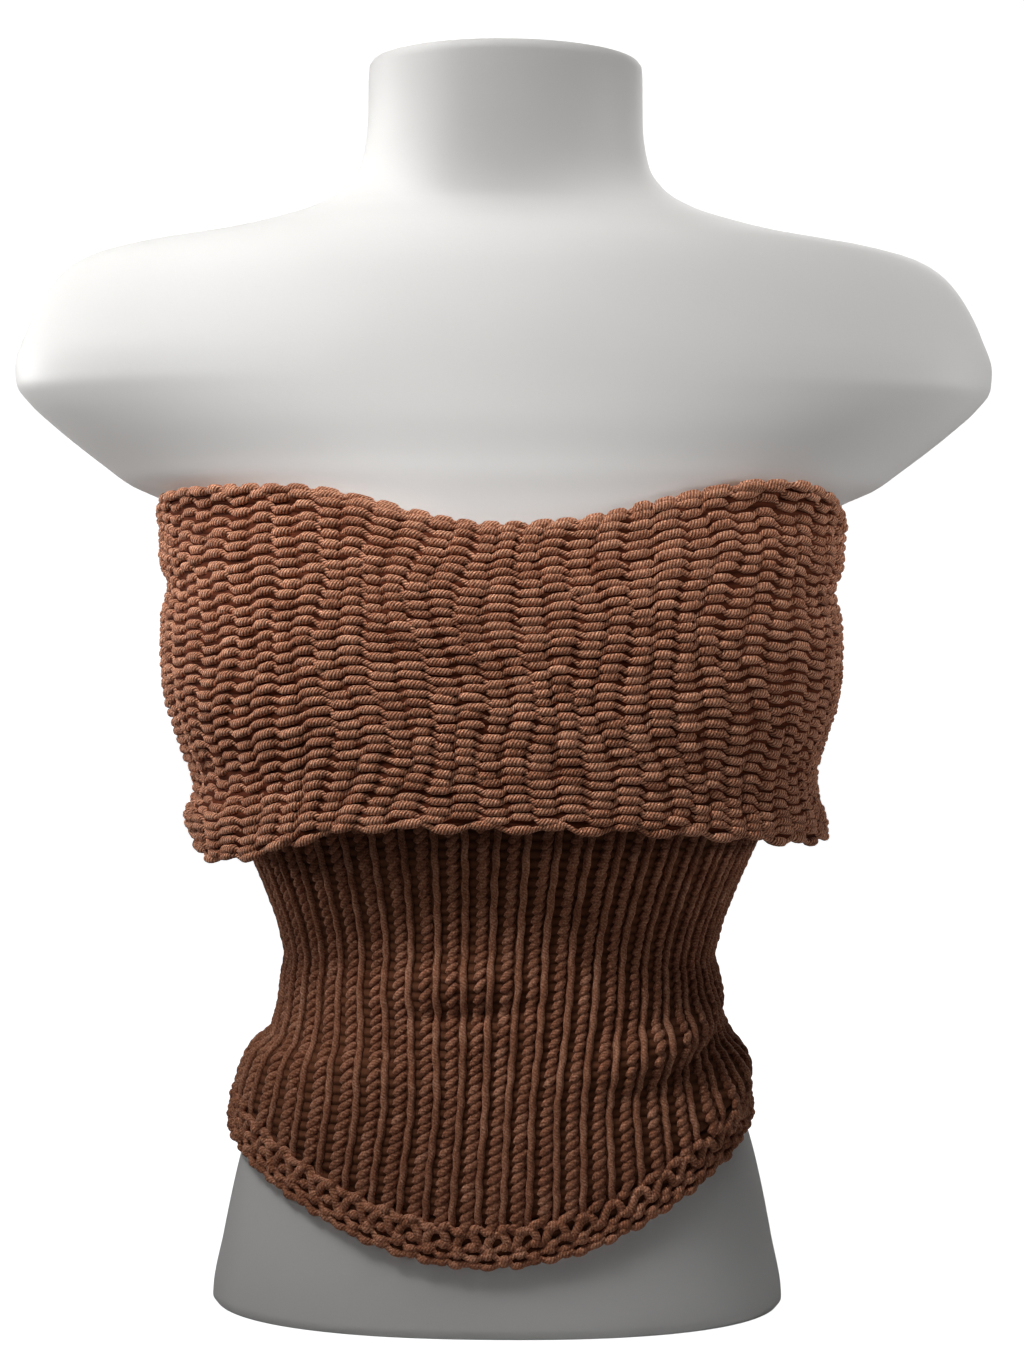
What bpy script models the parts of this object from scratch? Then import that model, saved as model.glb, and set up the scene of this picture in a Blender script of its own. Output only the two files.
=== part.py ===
"""A knit tube top whose upper part is folded outwards, on a limbless torso display form.

Metres, +Z up. The front faces -Y, and the origin is the middle of the form's flat base.
"Round" is a place on the way round, as a share of the outline's length: 0 at the middle of the
front, 0.25 at the +X side, 0.5 at the middle of the back, 0.75 at the -X side.
"""

import math

import bpy
import numpy as np

# ---- Driving dimensions -------------------------------------------------------------------

CLEAR = 0.0008              # least space between the form and the cloth
SEAM = 0.0003               # space between two cloth pieces that meet edge to edge

RIBS = 48                   # knit columns round the tube
BODY_WALL = 0.0032          # knit tube between its ribs
RIB_RELIEF = 0.0015         # a rib over the wall, where the tube shows
PRESSED_RELIEF = 0.0005     # a rib over the wall, under the folded part
RIBS_FULL_BELOW = 0.232
RIBS_PRESSED_ABOVE = 0.262
RIB_LEAN = 0.13             # how far a rib moves round, for each metre up
LEAN_PIVOT = 0.160          # height where a rib stands at its own place

BAND_WALL = 0.0042          # folded part, hanging outside the tube
RIM_BEAD = 0.0007           # the chained edge stands this far over the wall
BEAD_HEIGHT = 0.0050        # the chained edge, measured up from the free edge
LIP_DROP = 0.0055           # from the fold's crest down to the seam with the tube
ROLL_BLEND = 0.0240         # drop over which the roll runs out into the hanging part

HEM_HEIGHT = 0.0210
HEM_SIDE_LEVEL = 0.0835     # lower edge of the hem at the sides
HEM_FRONT_DIP = 0.0526
HEM_BACK_DIP = 0.0100
HEM_TILT = 0.0045           # the +X side is higher by this, the -X side lower

FORM_COLUMNS = 48
TUBE_ROWS = 20
BAND_COLUMNS = 64
BAND_OUTER_ROWS = 12
BAND_INNER_ROWS = 8
HEM_COLUMNS = 64
OUTLINE_SAMPLES = 241
LEAN_STEPS = 5              # rounds of settling a leaning rib's place and height together

# The torso form in level sections: height, half width, depth in front of and behind the middle,
# and squareness, which is 2 for an ellipse and more for a boxier outline.
FORM_SECTIONS = [
    # height  half_width  front   back  squareness
    (0.0000, 0.1298, 0.0858, 0.1000, 2.30),
    (0.0020, 0.1314, 0.0874, 0.1016, 2.30),
    (0.0300, 0.1266, 0.0885, 0.1020, 2.30),
    (0.0670, 0.1188, 0.0875, 0.0955, 2.30),
    (0.0850, 0.1135, 0.0860, 0.0900, 2.30),
    (0.1040, 0.1072, 0.0840, 0.0840, 2.28),
    (0.1230, 0.1010, 0.0815, 0.0785, 2.25),
    (0.1410, 0.0963, 0.0790, 0.0740, 2.20),
    (0.1550, 0.0944, 0.0775, 0.0720, 2.20),
    (0.1700, 0.0962, 0.0770, 0.0710, 2.20),
    (0.1880, 0.1025, 0.0785, 0.0720, 2.20),
    (0.2060, 0.1105, 0.0805, 0.0740, 2.20),
    (0.2250, 0.1195, 0.0832, 0.0770, 2.25),
    (0.2430, 0.1285, 0.0868, 0.0812, 2.30),
    (0.2620, 0.1372, 0.0912, 0.0850, 2.35),
    (0.2800, 0.1428, 0.0950, 0.0885, 2.40),
    (0.3000, 0.1450, 0.0962, 0.0915, 2.40),
    (0.3270, 0.1446, 0.0935, 0.0942, 2.35),
    (0.3450, 0.1470, 0.0900, 0.0948, 2.30),
    (0.3580, 0.1497, 0.0872, 0.0955, 2.25),
    (0.3610, 0.1507, 0.0866, 0.0958, 2.22),
    (0.3645, 0.1532, 0.0859, 0.0960, 2.20),
    (0.3688, 0.1606, 0.0852, 0.0962, 2.15),
    (0.3735, 0.1715, 0.0845, 0.0965, 2.10),
    (0.3830, 0.1850, 0.0825, 0.0972, 2.12),
    (0.4010, 0.2080, 0.0798, 0.0976, 2.18),
    (0.4120, 0.2200, 0.0777, 0.0972, 2.22),
    (0.4200, 0.2256, 0.0762, 0.0966, 2.25),
    (0.4290, 0.2264, 0.0745, 0.0955, 2.25),
    (0.4440, 0.2218, 0.0712, 0.0932, 2.22),
    (0.4600, 0.2142, 0.0667, 0.0895, 2.18),
    (0.4720, 0.2050, 0.0628, 0.0855, 2.12),
    (0.4800, 0.1925, 0.0594, 0.0823, 2.08),
    (0.4860, 0.1700, 0.0565, 0.0795, 2.04),
    (0.4915, 0.1350, 0.0538, 0.0762, 2.00),
    (0.4970, 0.1105, 0.0518, 0.0730, 2.00),
    (0.5030, 0.0905, 0.0504, 0.0695, 2.00),
    (0.5110, 0.0760, 0.0500, 0.0658, 2.00),
    (0.5230, 0.0672, 0.0504, 0.0625, 2.00),
    (0.5420, 0.0640, 0.0514, 0.0600, 2.00),
    (0.5692, 0.0634, 0.0522, 0.0585, 2.00),
    (0.5710, 0.0620, 0.0508, 0.0571, 2.00),
]

# How far the tube's inner face stands off the form, at each side, in front and behind. The slack
# is a soft roll above the hips, and the hem that springs out at the sides.
TUBE_SLACK = [
    # height  plus_x  minus_x  front   back
    (0.0300, 0.0008, 0.0008, 0.0010, 0.0012),
    (0.0600, 0.0008, 0.0016, 0.0009, 0.0030),
    (0.0760, 0.0010, 0.0046, 0.0009, 0.0040),
    (0.0850, 0.0016, 0.0070, 0.0010, 0.0045),
    (0.0950, 0.0024, 0.0086, 0.0012, 0.0045),
    (0.1040, 0.0030, 0.0092, 0.0014, 0.0040),
    (0.1130, 0.0040, 0.0082, 0.0016, 0.0035),
    (0.1226, 0.0012, 0.0009, 0.0022, 0.0020),
    (0.1320, 0.0008, 0.0008, 0.0028, 0.0018),
    (0.1410, 0.0026, 0.0014, 0.0032, 0.0030),
    (0.1500, 0.0028, 0.0020, 0.0026, 0.0030),
    (0.1600, 0.0008, 0.0008, 0.0012, 0.0010),
    (0.1700, 0.0016, 0.0016, 0.0010, 0.0010),
    (0.2060, 0.0012, 0.0012, 0.0014, 0.0012),
    (0.2350, 0.0008, 0.0008, 0.0008, 0.0008),
    (0.3800, 0.0008, 0.0008, 0.0008, 0.0008),
]

# The outer face of the folded part, hanging almost straight from the bust.
BAND_SECTIONS = [
    # height  half_width  front   back  squareness
    (0.1950, 0.1480, 0.1052, 0.1020, 2.35),
    (0.2060, 0.1500, 0.1060, 0.1026, 2.35),
    (0.2150, 0.1512, 0.1064, 0.1032, 2.35),
    (0.2240, 0.1504, 0.1064, 0.1038, 2.40),
    (0.2340, 0.1478, 0.1064, 0.1046, 2.40),
    (0.2430, 0.1472, 0.1068, 0.1056, 2.45),
    (0.2520, 0.1484, 0.1072, 0.1064, 2.45),
    (0.2620, 0.1512, 0.1076, 0.1070, 2.50),
    (0.2800, 0.1562, 0.1080, 0.1078, 2.50),
    (0.2990, 0.1574, 0.1080, 0.1080, 2.50),
    (0.3180, 0.1570, 0.1068, 0.1074, 2.45),
    (0.3270, 0.1564, 0.1056, 0.1070, 2.40),
    (0.3360, 0.1585, 0.1040, 0.1066, 2.35),
    (0.3450, 0.1600, 0.1020, 0.1062, 2.30),
    (0.3580, 0.1604, 0.0990, 0.1062, 2.25),
    (0.3760, 0.1640, 0.0960, 0.1066, 2.20),
]

# Height of the fold's crest on the way round: low at the middle of the front, with a peak on
# each side of it.
FOLD_CREST = [
    # round  height
    (0.000, 0.3530),
    (0.040, 0.3556),
    (0.080, 0.3630),
    (0.115, 0.3710),
    (0.145, 0.3745),
    (0.180, 0.3705),
    (0.215, 0.3640),
    (0.250, 0.3595),
    (0.350, 0.3550),
    (0.500, 0.3535),
    (0.650, 0.3555),
    (0.750, 0.3625),
    (0.790, 0.3685),
    (0.835, 0.3702),
    (0.880, 0.3705),
    (0.920, 0.3655),
    (0.960, 0.3570),
    (1.000, 0.3530),
]

# Height of the folded part's free edge on the way round.
FREE_EDGE = [
    # round  height
    (0.000, 0.2196),
    (0.080, 0.2184),
    (0.130, 0.2155),
    (0.180, 0.2125),
    (0.230, 0.2130),
    (0.350, 0.2105),
    (0.500, 0.2085),
    (0.650, 0.2105),
    (0.720, 0.2145),
    (0.760, 0.2125),
    (0.800, 0.2058),
    (0.840, 0.2030),
    (0.875, 0.2085),
    (0.910, 0.2165),
    (0.950, 0.2200),
    (1.000, 0.2196),
]

# The fold's roll, from the lip that meets the tube, over the crest, to the outside.
ROLL_PROFILE = [
    # off_form  drop
    (0.0008, 0.0055),
    (0.0010, 0.0030),
    (0.0026, 0.0009),
    (0.0052, 0.0000),
    (0.0082, 0.0011),
    (0.0100, 0.0036),
    (0.0104, 0.0075),
]
LIP_OUTSIDE = 0.0051        # off the form, where the lip's underside ends
POCKET_DROP = 0.0078        # the space under the folded part begins this far below the crest

# The chained free edge, from its bead round to the inside.
RIM_PROFILE = [
    # up     inside the outer face
    (0.0030, -RIM_BEAD),
    (0.0010, 0.0),
    (0.0000, BAND_WALL / 2),
    (0.0010, BAND_WALL),
]

# The two rolled rows of the hem, from its lower edge up.
HEM_PROFILE = [
    # thickness  up
    (0.0024, 0.0000),
    (0.0048, 0.0016),
    (0.0054, 0.0052),
    (0.0048, 0.0085),
    (0.0040, 0.0105),
    (0.0048, 0.0125),
    (0.0054, 0.0158),
    (0.0046, 0.0192),
    (0.0030, 0.0210),
]
HEM_INNER_UP = (0.0210, 0.0105, 0.0000)

# Soft creases pressed into the cloth: place and half length round, height and half width up,
# how far the crease climbs for each unit round, and depth.
BAND_CREASES = [
    # round  half_round  height  half_up   climb   depth
    (0.225, 0.060, 0.3260, 0.0085, 0.10, 0.0024),    # under the +X arm
    (0.775, 0.060, 0.3270, 0.0085, -0.10, 0.0020),   # under the -X arm
    (0.790, 0.065, 0.2360, 0.0120, 0.10, 0.0068),    # above the lower -X corner
    (0.765, 0.060, 0.2090, 0.0110, 0.00, 0.0095),    # the lower -X corner itself
    (0.205, 0.050, 0.2440, 0.0110, -0.10, 0.0010),   # above the lower +X corner
    (0.430, 0.090, 0.2900, 0.0130, 0.05, 0.0022),    # behind
    (0.620, 0.075, 0.2450, 0.0120, -0.08, 0.0034),   # behind
]
TUBE_CREASES = [
    # round  half_round  height  half_up   climb   depth
    (0.982, 0.050, 0.1330, 0.0060, 0.05, 0.0024),    # waist, middle of the front
    (0.095, 0.060, 0.1040, 0.0070, 0.22, -0.0030),   # a slanting fold on the +X hip
    (0.900, 0.050, 0.1150, 0.0070, -0.15, -0.0016),  # its lesser match on the -X hip
    (0.560, 0.070, 0.1360, 0.0080, 0.10, -0.0030),   # small of the back
    (0.420, 0.050, 0.1120, 0.0070, -0.16, -0.0022),  # back of the hip
]

YARN_BROWN = (0.262, 0.098, 0.048)
FORM_WHITE = (0.760, 0.745, 0.720)


# ---- Curves through tables ----------------------------------------------------------------

def smooth_through(knots, values, at, flat_ends=False):
    """Values between the knots, on a cubic curve that never overshoots them."""
    knots, values, at = (np.asarray(x, float) for x in (knots, values, at))
    step = np.diff(knots)
    rise = np.diff(values) / step
    slope = np.zeros(len(knots))
    turning = rise[:-1] * rise[1:] <= 0
    before, after = np.where(turning, 1.0, rise[:-1]), np.where(turning, 1.0, rise[1:])
    near, far = 2 * step[1:] + step[:-1], step[1:] + 2 * step[:-1]
    slope[1:-1] = np.where(turning, 0.0, (near + far) / (near / before + far / after))
    if not flat_ends:
        slope[0], slope[-1] = rise[0], rise[-1]
    i = np.clip(np.searchsorted(knots, at, side="right") - 1, 0, len(step) - 1)
    t = np.clip((at - knots[i]) / step[i], 0.0, 1.0)
    start = values[i] * (1 + 2 * t) * (1 - t) ** 2 + slope[i] * step[i] * t * (1 - t) ** 2
    end = values[i + 1] * t * t * (3 - 2 * t) + slope[i + 1] * step[i] * t * t * (t - 1)
    return start + end


def row_at(table, height):
    """Every column of a table but its first, at a height."""
    columns = list(zip(*table))
    return [float(smooth_through(columns[0], c, height)) for c in columns[1:]]


def line_at(table, place):
    """Height of a line that runs all the way round, at a place round."""
    rounds, heights = zip(*table)
    return float(smooth_through(rounds, heights, place % 1.0, flat_ends=True))


def smooth_step(value):
    value = min(1.0, max(0.0, value))
    return value * value * (3 - 2 * value)


# ---- Level outlines -----------------------------------------------------------------------

def on_outline(section, place):
    """The point at this place round a level outline, and the direction straight out of it."""
    half_width, front, back, squareness = section
    place %= 1.0
    mirrored = place > 0.5
    share = 2 * (1 - place if mirrored else place)
    turn = np.linspace(0, math.pi, OUTLINE_SAMPLES)
    power = 2 / squareness
    x = half_width * np.abs(np.sin(turn)) ** power
    cosine = np.cos(turn)
    y = -np.sign(cosine) * np.abs(cosine) ** power * np.where(cosine > 0, front, back)
    length = np.concatenate([[0], np.cumsum(np.hypot(np.diff(x), np.diff(y)))])
    at = share * length[-1]
    reach = length[-1] / OUTLINE_SAMPLES
    here = np.array([np.interp(at, length, x), np.interp(at, length, y)])
    ahead = np.array([np.interp(at + reach, length, x), np.interp(at + reach, length, y)])
    behind = np.array([np.interp(at - reach, length, x), np.interp(at - reach, length, y)])
    along = ahead - behind
    if at < reach or at > length[-1] - reach:
        along = np.array([1.0 if at < reach else -1.0, 0.0])
    out = np.array([along[1], -along[0]]) / np.hypot(*along)
    if mirrored:
        here[0], out[0] = -here[0], -out[0]
    return here, out


def off_surface(sections, place, height, distance):
    """A point this far straight out from a surface given by its sections."""
    here, out = on_outline(row_at(sections, height), place)
    return np.array([*(here + distance * out), height])


# ---- The cloth's own lines and folds --------------------------------------------------------

def crease_depth(creases, place, height):
    """How far soft creases press the cloth in at this spot."""
    depth = 0.0
    for round_, half_round, level, half_up, climb, deepest in creases:
        across = (place - round_ + 0.5) % 1.0 - 0.5
        up = height - level - climb * across
        depth += deepest * math.exp(-(across / half_round) ** 2 - (up / half_up) ** 2)
    return depth


def tube_stand_off(place, height):
    """Space between the form and the tube's inner face."""
    plus_x, minus_x, front, back = row_at(TUBE_SLACK, height)
    facing = math.cos(2 * math.pi * place)
    side = plus_x if math.sin(2 * math.pi * place) > 0 else minus_x
    slack = side * (1 - facing * facing) + (front if facing > 0 else back) * facing * facing
    return max(CLEAR, slack - crease_depth(TUBE_CREASES, place, height))


def hem_lower_edge(place):
    facing = math.cos(2 * math.pi * place)
    dip = HEM_FRONT_DIP if facing > 0 else HEM_BACK_DIP
    return HEM_SIDE_LEVEL - dip * facing * facing + HEM_TILT * math.sin(2 * math.pi * place)


def rib_relief(height):
    """A rib's height over the wall, which the folded part presses down."""
    pressed = smooth_step((height - RIBS_FULL_BELOW) / (RIBS_PRESSED_ABOVE - RIBS_FULL_BELOW))
    return RIB_RELIEF + (PRESSED_RELIEF - RIB_RELIEF) * pressed


def band_outer(place, height, inset=0.0):
    """A point of the folded part's outer face, or of its wall that far inside it."""
    drop = line_at(FOLD_CREST, place) - height
    hangs = smooth_step((drop - ROLL_PROFILE[-1][1]) / ROLL_BLEND)
    inset += hangs * crease_depth(BAND_CREASES, place, height)
    on_roll = off_surface(FORM_SECTIONS, place, height, ROLL_PROFILE[-1][0] - inset)
    hanging = off_surface(BAND_SECTIONS, place, height, -inset)
    return on_roll + hangs * (hanging - on_roll)


# ---- Meshes -------------------------------------------------------------------------------

class Shell:
    """Rings of points, joined into one closed mesh."""

    def __init__(self):
        self.points = []
        self.faces = []

    def ring(self, points):
        first = len(self.points)
        self.points.extend(tuple(float(c) for c in p) for p in points)
        return list(range(first, len(self.points)))

    def join(self, low, high):
        """Faces from one ring to the next, which may have half or twice as many points."""
        count = max(len(low), len(high))
        low_step, high_step = len(low) / count, len(high) / count
        for i in range(count):
            a, b = (low[int(j * low_step) % len(low)] for j in (i, i + 1))
            c, d = (high[int(j * high_step) % len(high)] for j in (i + 1, i))
            corners = [v for n, v in enumerate((a, b, c, d)) if v not in (a, b, c, d)[:n]]
            self.faces.append(corners)

    def cap(self, ring, upward):
        self.faces.append(list(ring) if upward else list(reversed(ring)))

    def build(self, name, material):
        mesh = bpy.data.meshes.new(name)
        mesh.from_pydata(self.points, [], self.faces)
        mesh.validate()
        mesh.materials.append(material)
        mesh.shade_smooth()
        mesh.set_sharp_from_angle(angle=math.radians(40))
        obj = bpy.data.objects.new(name, mesh)
        bpy.context.scene.collection.objects.link(obj)
        return obj


def places_round(count):
    return [i / count for i in range(count)]


def torso_form(material):
    """The display torso: level sections from its flat base up to its flat neck."""
    shell = Shell()
    rings = []
    for height, *section in FORM_SECTIONS:
        outline = [on_outline(section, p)[0] for p in places_round(FORM_COLUMNS)]
        rings.append(shell.ring([(*xy, height) for xy in outline]))
    for low, high in zip(rings, rings[1:]):
        shell.join(low, high)
    shell.cap(rings[0], upward=False)
    shell.cap(rings[-1], upward=True)
    return shell.build("torso_form", material)


def tube_ring(count, share_up, outer):
    """One ring of the tube's wall. Its ribs lean a little, and its rows follow the hem."""
    points = []
    for i, own_place in enumerate(places_round(count)):
        place = own_place
        for _ in range(LEAN_STEPS):
            low = hem_lower_edge(place) + HEM_HEIGHT + SEAM
            high = line_at(FOLD_CREST, place) - LIP_DROP - SEAM
            height = low + share_up * (high - low)
            place = own_place + RIB_LEAN * (height - LEAN_PIVOT)
        distance = tube_stand_off(place, height)
        if outer:
            distance += BODY_WALL + (rib_relief(height) if i % 2 == 0 else 0.0)
        points.append(off_surface(FORM_SECTIONS, place, height, distance))
    return points


def body_tube(material):
    """The knitted tube: ribs raised outside over a plain inside."""
    shell = Shell()
    shares = [i / (TUBE_ROWS - 1) for i in range(TUBE_ROWS)]
    outer = [shell.ring(tube_ring(2 * RIBS, s, True)) for s in shares]
    inner = [shell.ring(tube_ring(RIBS, s, False)) for s in shares]
    for low, high in zip(outer, outer[1:]):
        shell.join(low, high)
    for low, high in zip(inner, inner[1:]):
        shell.join(high, low)
    shell.join(outer[-1], inner[-1])
    shell.join(inner[0], outer[0])
    return shell.build("body_tube", material)


def fold_over_band(material):
    """The tube's upper part: over the crest, and down outside it to the chained free edge."""
    shell = Shell()
    places = places_round(BAND_COLUMNS)
    crests = [line_at(FOLD_CREST, p) for p in places]
    edges = [line_at(FREE_EDGE, p) for p in places]
    rings = []
    for off_form, drop in ROLL_PROFILE[:-1]:
        rings.append([off_surface(FORM_SECTIONS, p, crest - drop, off_form)
                      for p, crest in zip(places, crests)])
    first_drop = ROLL_PROFILE[-1][1]
    for row in range(BAND_OUTER_ROWS):
        share = row / (BAND_OUTER_ROWS - 1)
        tops = [crest - first_drop for crest in crests]
        feet = [edge + BEAD_HEIGHT for edge in edges]
        rings.append([band_outer(p, top + share * (foot - top))
                      for p, top, foot in zip(places, tops, feet)])
    for up, inset in RIM_PROFILE:
        rings.append([band_outer(p, edge + up, inset) for p, edge in zip(places, edges)])
    for row in range(BAND_INNER_ROWS):
        share = row / (BAND_INNER_ROWS - 1)
        feet = [edge + BEAD_HEIGHT for edge in edges]
        tops = [crest - POCKET_DROP for crest in crests]
        rings.append([band_outer(p, foot + share * (top - foot), BAND_WALL)
                      for p, top, foot in zip(places, tops, feet)])
    rings.append([off_surface(FORM_SECTIONS, p, crest - LIP_DROP, LIP_OUTSIDE)
                  for p, crest in zip(places, crests)])
    numbers = [shell.ring(points) for points in rings]
    for upper, lower in zip(numbers, numbers[1:] + numbers[:1]):
        shell.join(lower, upper)
    return shell.build("fold_over_band", material)


def hem_band(material):
    """The crocheted border: two rolled rows along the curved lower edge."""
    shell = Shell()
    places = places_round(HEM_COLUMNS)

    def ring_of(thickness, up):
        points = []
        for p in places:
            height = hem_lower_edge(p) + up
            distance = tube_stand_off(p, height) + thickness
            points.append(off_surface(FORM_SECTIONS, p, height, distance))
        return shell.ring(points)

    rings = [ring_of(thickness, up) for thickness, up in HEM_PROFILE]
    rings += [ring_of(0.0, up) for up in HEM_INNER_UP]
    for low, high in zip(rings, rings[1:] + rings[:1]):
        shell.join(low, high)
    return shell.build("hem_band", material)


# ---- Materials and assembly ---------------------------------------------------------------

def plain_material(name, colour, roughness):
    material = bpy.data.materials.new(name)
    material.use_nodes = True
    shader = material.node_tree.nodes["Principled BSDF"]
    shader.inputs["Base Color"].default_value = (*colour, 1.0)
    shader.inputs["Roughness"].default_value = roughness
    shader.inputs["Metallic"].default_value = 0.0
    return material


def main():
    for obj in list(bpy.data.objects):
        bpy.data.objects.remove(obj)
    torso_form(plain_material("form_plastic", FORM_WHITE, 0.38))
    body_tube(plain_material("tube_yarn", YARN_BROWN, 0.85))
    fold_over_band(plain_material("band_yarn", YARN_BROWN, 0.85))
    hem_band(plain_material("hem_yarn", YARN_BROWN, 0.85))


main()
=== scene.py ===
# %% [markdown]
# # A chunky knit tube top on a display form
#
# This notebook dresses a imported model: a knitted tube whose upper part is folded outwards, on a
# smooth torso. The frame holds the plain solids at their real size. Each cell adds one thing
# that the eye reads as knitting: the yarn itself, laid stitch by stitch on the cloth's surface.
#
# Lengths are metres, +Z is up and the front faces -Y. "Round" is a place on the way round, as a
# share of the outline's length: 0 is the middle of the front, 0.25 the +X side, 0.5 the back.

# %% Load the fixed frame
import math

import bpy
import numpy as np
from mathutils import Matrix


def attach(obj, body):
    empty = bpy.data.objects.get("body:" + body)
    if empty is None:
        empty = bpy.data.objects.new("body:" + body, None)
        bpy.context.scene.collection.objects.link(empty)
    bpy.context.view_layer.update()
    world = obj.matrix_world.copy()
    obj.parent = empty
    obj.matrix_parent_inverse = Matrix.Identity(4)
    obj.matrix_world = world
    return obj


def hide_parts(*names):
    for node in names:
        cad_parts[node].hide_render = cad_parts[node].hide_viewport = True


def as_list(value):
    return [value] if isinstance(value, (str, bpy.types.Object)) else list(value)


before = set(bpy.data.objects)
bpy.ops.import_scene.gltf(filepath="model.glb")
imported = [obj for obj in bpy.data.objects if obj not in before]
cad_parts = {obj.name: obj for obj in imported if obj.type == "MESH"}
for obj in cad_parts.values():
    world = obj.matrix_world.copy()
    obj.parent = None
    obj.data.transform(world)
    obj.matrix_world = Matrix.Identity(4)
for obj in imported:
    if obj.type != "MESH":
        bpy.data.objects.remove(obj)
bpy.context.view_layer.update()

MM = 0.001

# %% [markdown]
# ## A few helpers
#
# Everything here ends as an object in the scene, and most of it needs nodes. Set out in full,
# each node takes four or five lines, and the yarn would be lost among them. So one helper links
# an object, two add a node and fill its inputs in one line, and the last starts a material.

# %% Helpers for objects, nodes and materials
def linked(name, data):
    """A new object in the scene that shows this data."""
    made = bpy.data.objects.new(name, data)
    bpy.context.scene.collection.objects.link(made)
    return made


def set_inputs(tree, node, inputs):
    """An input, by its name or number, takes a plain value or another node's socket."""
    for key, value in inputs.items():
        if isinstance(value, bpy.types.NodeSocket):
            tree.links.new(value, node.inputs[key])
        else:
            node.inputs[key].default_value = value


def add(tree, kind, inputs=None, **settings):
    """A new node with its settings and inputs."""
    node = tree.nodes.new(kind)
    for key, value in settings.items():
        setattr(node, key, value)
    set_inputs(tree, node, inputs or {})
    return node


def new_material(name):
    """A material, its nodes and its shader."""
    material = bpy.data.materials.new(name)
    material.use_nodes = True
    return material, material.node_tree, material.node_tree.nodes["Principled BSDF"]

# %% [markdown]
# ## The camera and the light
#
# The photograph looks level at the top from 1.2 m, with a long lens and a tilt of under half a
# degree. One large soft lamp high above the front does most of the work: the folded part is
# bright, and the tube below it falls into shade. Two small lamps with grids fill the lower left,
# one on each side draws the edges of the arms, and the last serves the views from behind. The
# Standard view keeps the gaps between the yarns as dark as the photograph has them.

# %% Camera
CAMERA_DISTANCE = 1.2          # from the form's middle
CAMERA_HEIGHT = 0.284
CAMERA_SIDE = 0.0049           # the form stands this far left of the image's middle
FOCAL_PIXELS = 2580            # for an image 1365 pixels high
IMAGE_HEIGHT = 1365
CAMERA_TILT = 0.4              # degrees
SENSOR = 36.0

camera_data = bpy.data.cameras.new("camera")
camera_data.sensor_width = SENSOR
camera_data.lens = SENSOR * FOCAL_PIXELS / IMAGE_HEIGHT
camera = linked("camera", camera_data)
camera.location = (CAMERA_SIDE, -CAMERA_DISTANCE, CAMERA_HEIGHT)
camera.rotation_euler = (math.radians(90), math.radians(-CAMERA_TILT), 0)
bpy.context.scene.camera = camera
print("lens", round(camera_data.lens, 1), "mm")

# %% Square soft lamps, aimed at the form
LAMPS = [
    # name       place                    aim                   size  spread  power
    ("top", (-0.085, -0.480, 1.565), (0.00, 0.00, 0.36), 0.60, 180, 4.10),
    ("side", (-0.443, -0.402, 0.989), (0.00, -0.03, 0.30), 0.35, 36, 0.42),
    ("low_side", (-0.648, -0.574, 0.608), (0.00, -0.03, 0.30), 0.35, 40, 0.08),
    ("left_arm", (-1.076, 0.232, 0.498), (-0.21, 0.00, 0.42), 0.35, 25, 0.34),
    ("right_arm", (1.076, -0.232, 0.498), (0.23, 0.00, 0.43), 0.35, 22, 0.22),
    ("back", (0.700, 1.400, 1.300), (0.00, 0.00, 0.30), 1.00, 180, 9.0),
]
for name, place, aim_at, size, spread, power in LAMPS:
    lamp_data = bpy.data.lights.new(name + "_lamp", "AREA")
    lamp_data.shape = "SQUARE"
    lamp_data.size = size
    lamp_data.energy = power
    lamp_data.spread = math.radians(spread)    # a small spread is a softbox with a grid
    lamp = linked(name + "_lamp", lamp_data)
    lamp.location = place
    x, y, z = np.array(aim_at) - np.array(place)
    lamp.rotation_euler = (math.atan2(math.hypot(x, y), -z), 0, math.atan2(y, x) - math.pi / 2)
bpy.context.scene.view_settings.view_transform = "Standard"
print(len(LAMPS), "lamps")

# %% Surroundings and floor
AMBIENT = 0.02                 # light from all round
BACKDROP = 1.4                 # what the camera sees there
FLOOR_HALF = 12.0
FLOOR_DROP = 0.2 * MM          # below the form's base
FLOOR_GREY = 0.55
FLOOR_GLOW = 1.0               # seen by the camera alone, so the floor stays pale


def seen_or_lit(tree, lit, seen):
    """One shader gives light, and the camera sees the other."""
    camera_ray = add(tree, "ShaderNodeLightPath").outputs["Is Camera Ray"]
    return add(tree, "ShaderNodeMixShader", {"Fac": camera_ray, 1: lit, 2: seen}).outputs[0]


world = bpy.data.worlds.new("studio")
world.use_nodes = True
tree = world.node_tree
tree.nodes.clear()
ambient, backdrop = (add(tree, "ShaderNodeBackground", {"Strength": strength}).outputs[0]
                     for strength in (AMBIENT, BACKDROP))
add(tree, "ShaderNodeOutputWorld", {0: seen_or_lit(tree, ambient, backdrop)})
bpy.context.scene.world = world

floor_mesh = bpy.data.meshes.new("floor")
floor_mesh.from_pydata([(x * FLOOR_HALF, y * FLOOR_HALF, 0)
                        for x, y in ((-1, -1), (1, -1), (1, 1), (-1, 1))], [], [(0, 1, 2, 3)])
floor = linked("floor", floor_mesh)
floor.location.z = -FLOOR_DROP
floor_paint, tree, shader = new_material("pale_floor")
set_inputs(tree, shader, {"Base Color": (FLOOR_GREY,) * 3 + (1,), "Roughness": 0.9})
glow = add(tree, "ShaderNodeEmission", {"Strength": FLOOR_GLOW}).outputs[0]
both = add(tree, "ShaderNodeAddShader", {0: shader.outputs[0], 1: glow}).outputs[0]
set_inputs(tree, tree.nodes["Material Output"],
           {"Surface": seen_or_lit(tree, shader.outputs[0], both)})
floor_mesh.materials.append(floor_paint)
print("floor and surroundings are in place")

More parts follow.
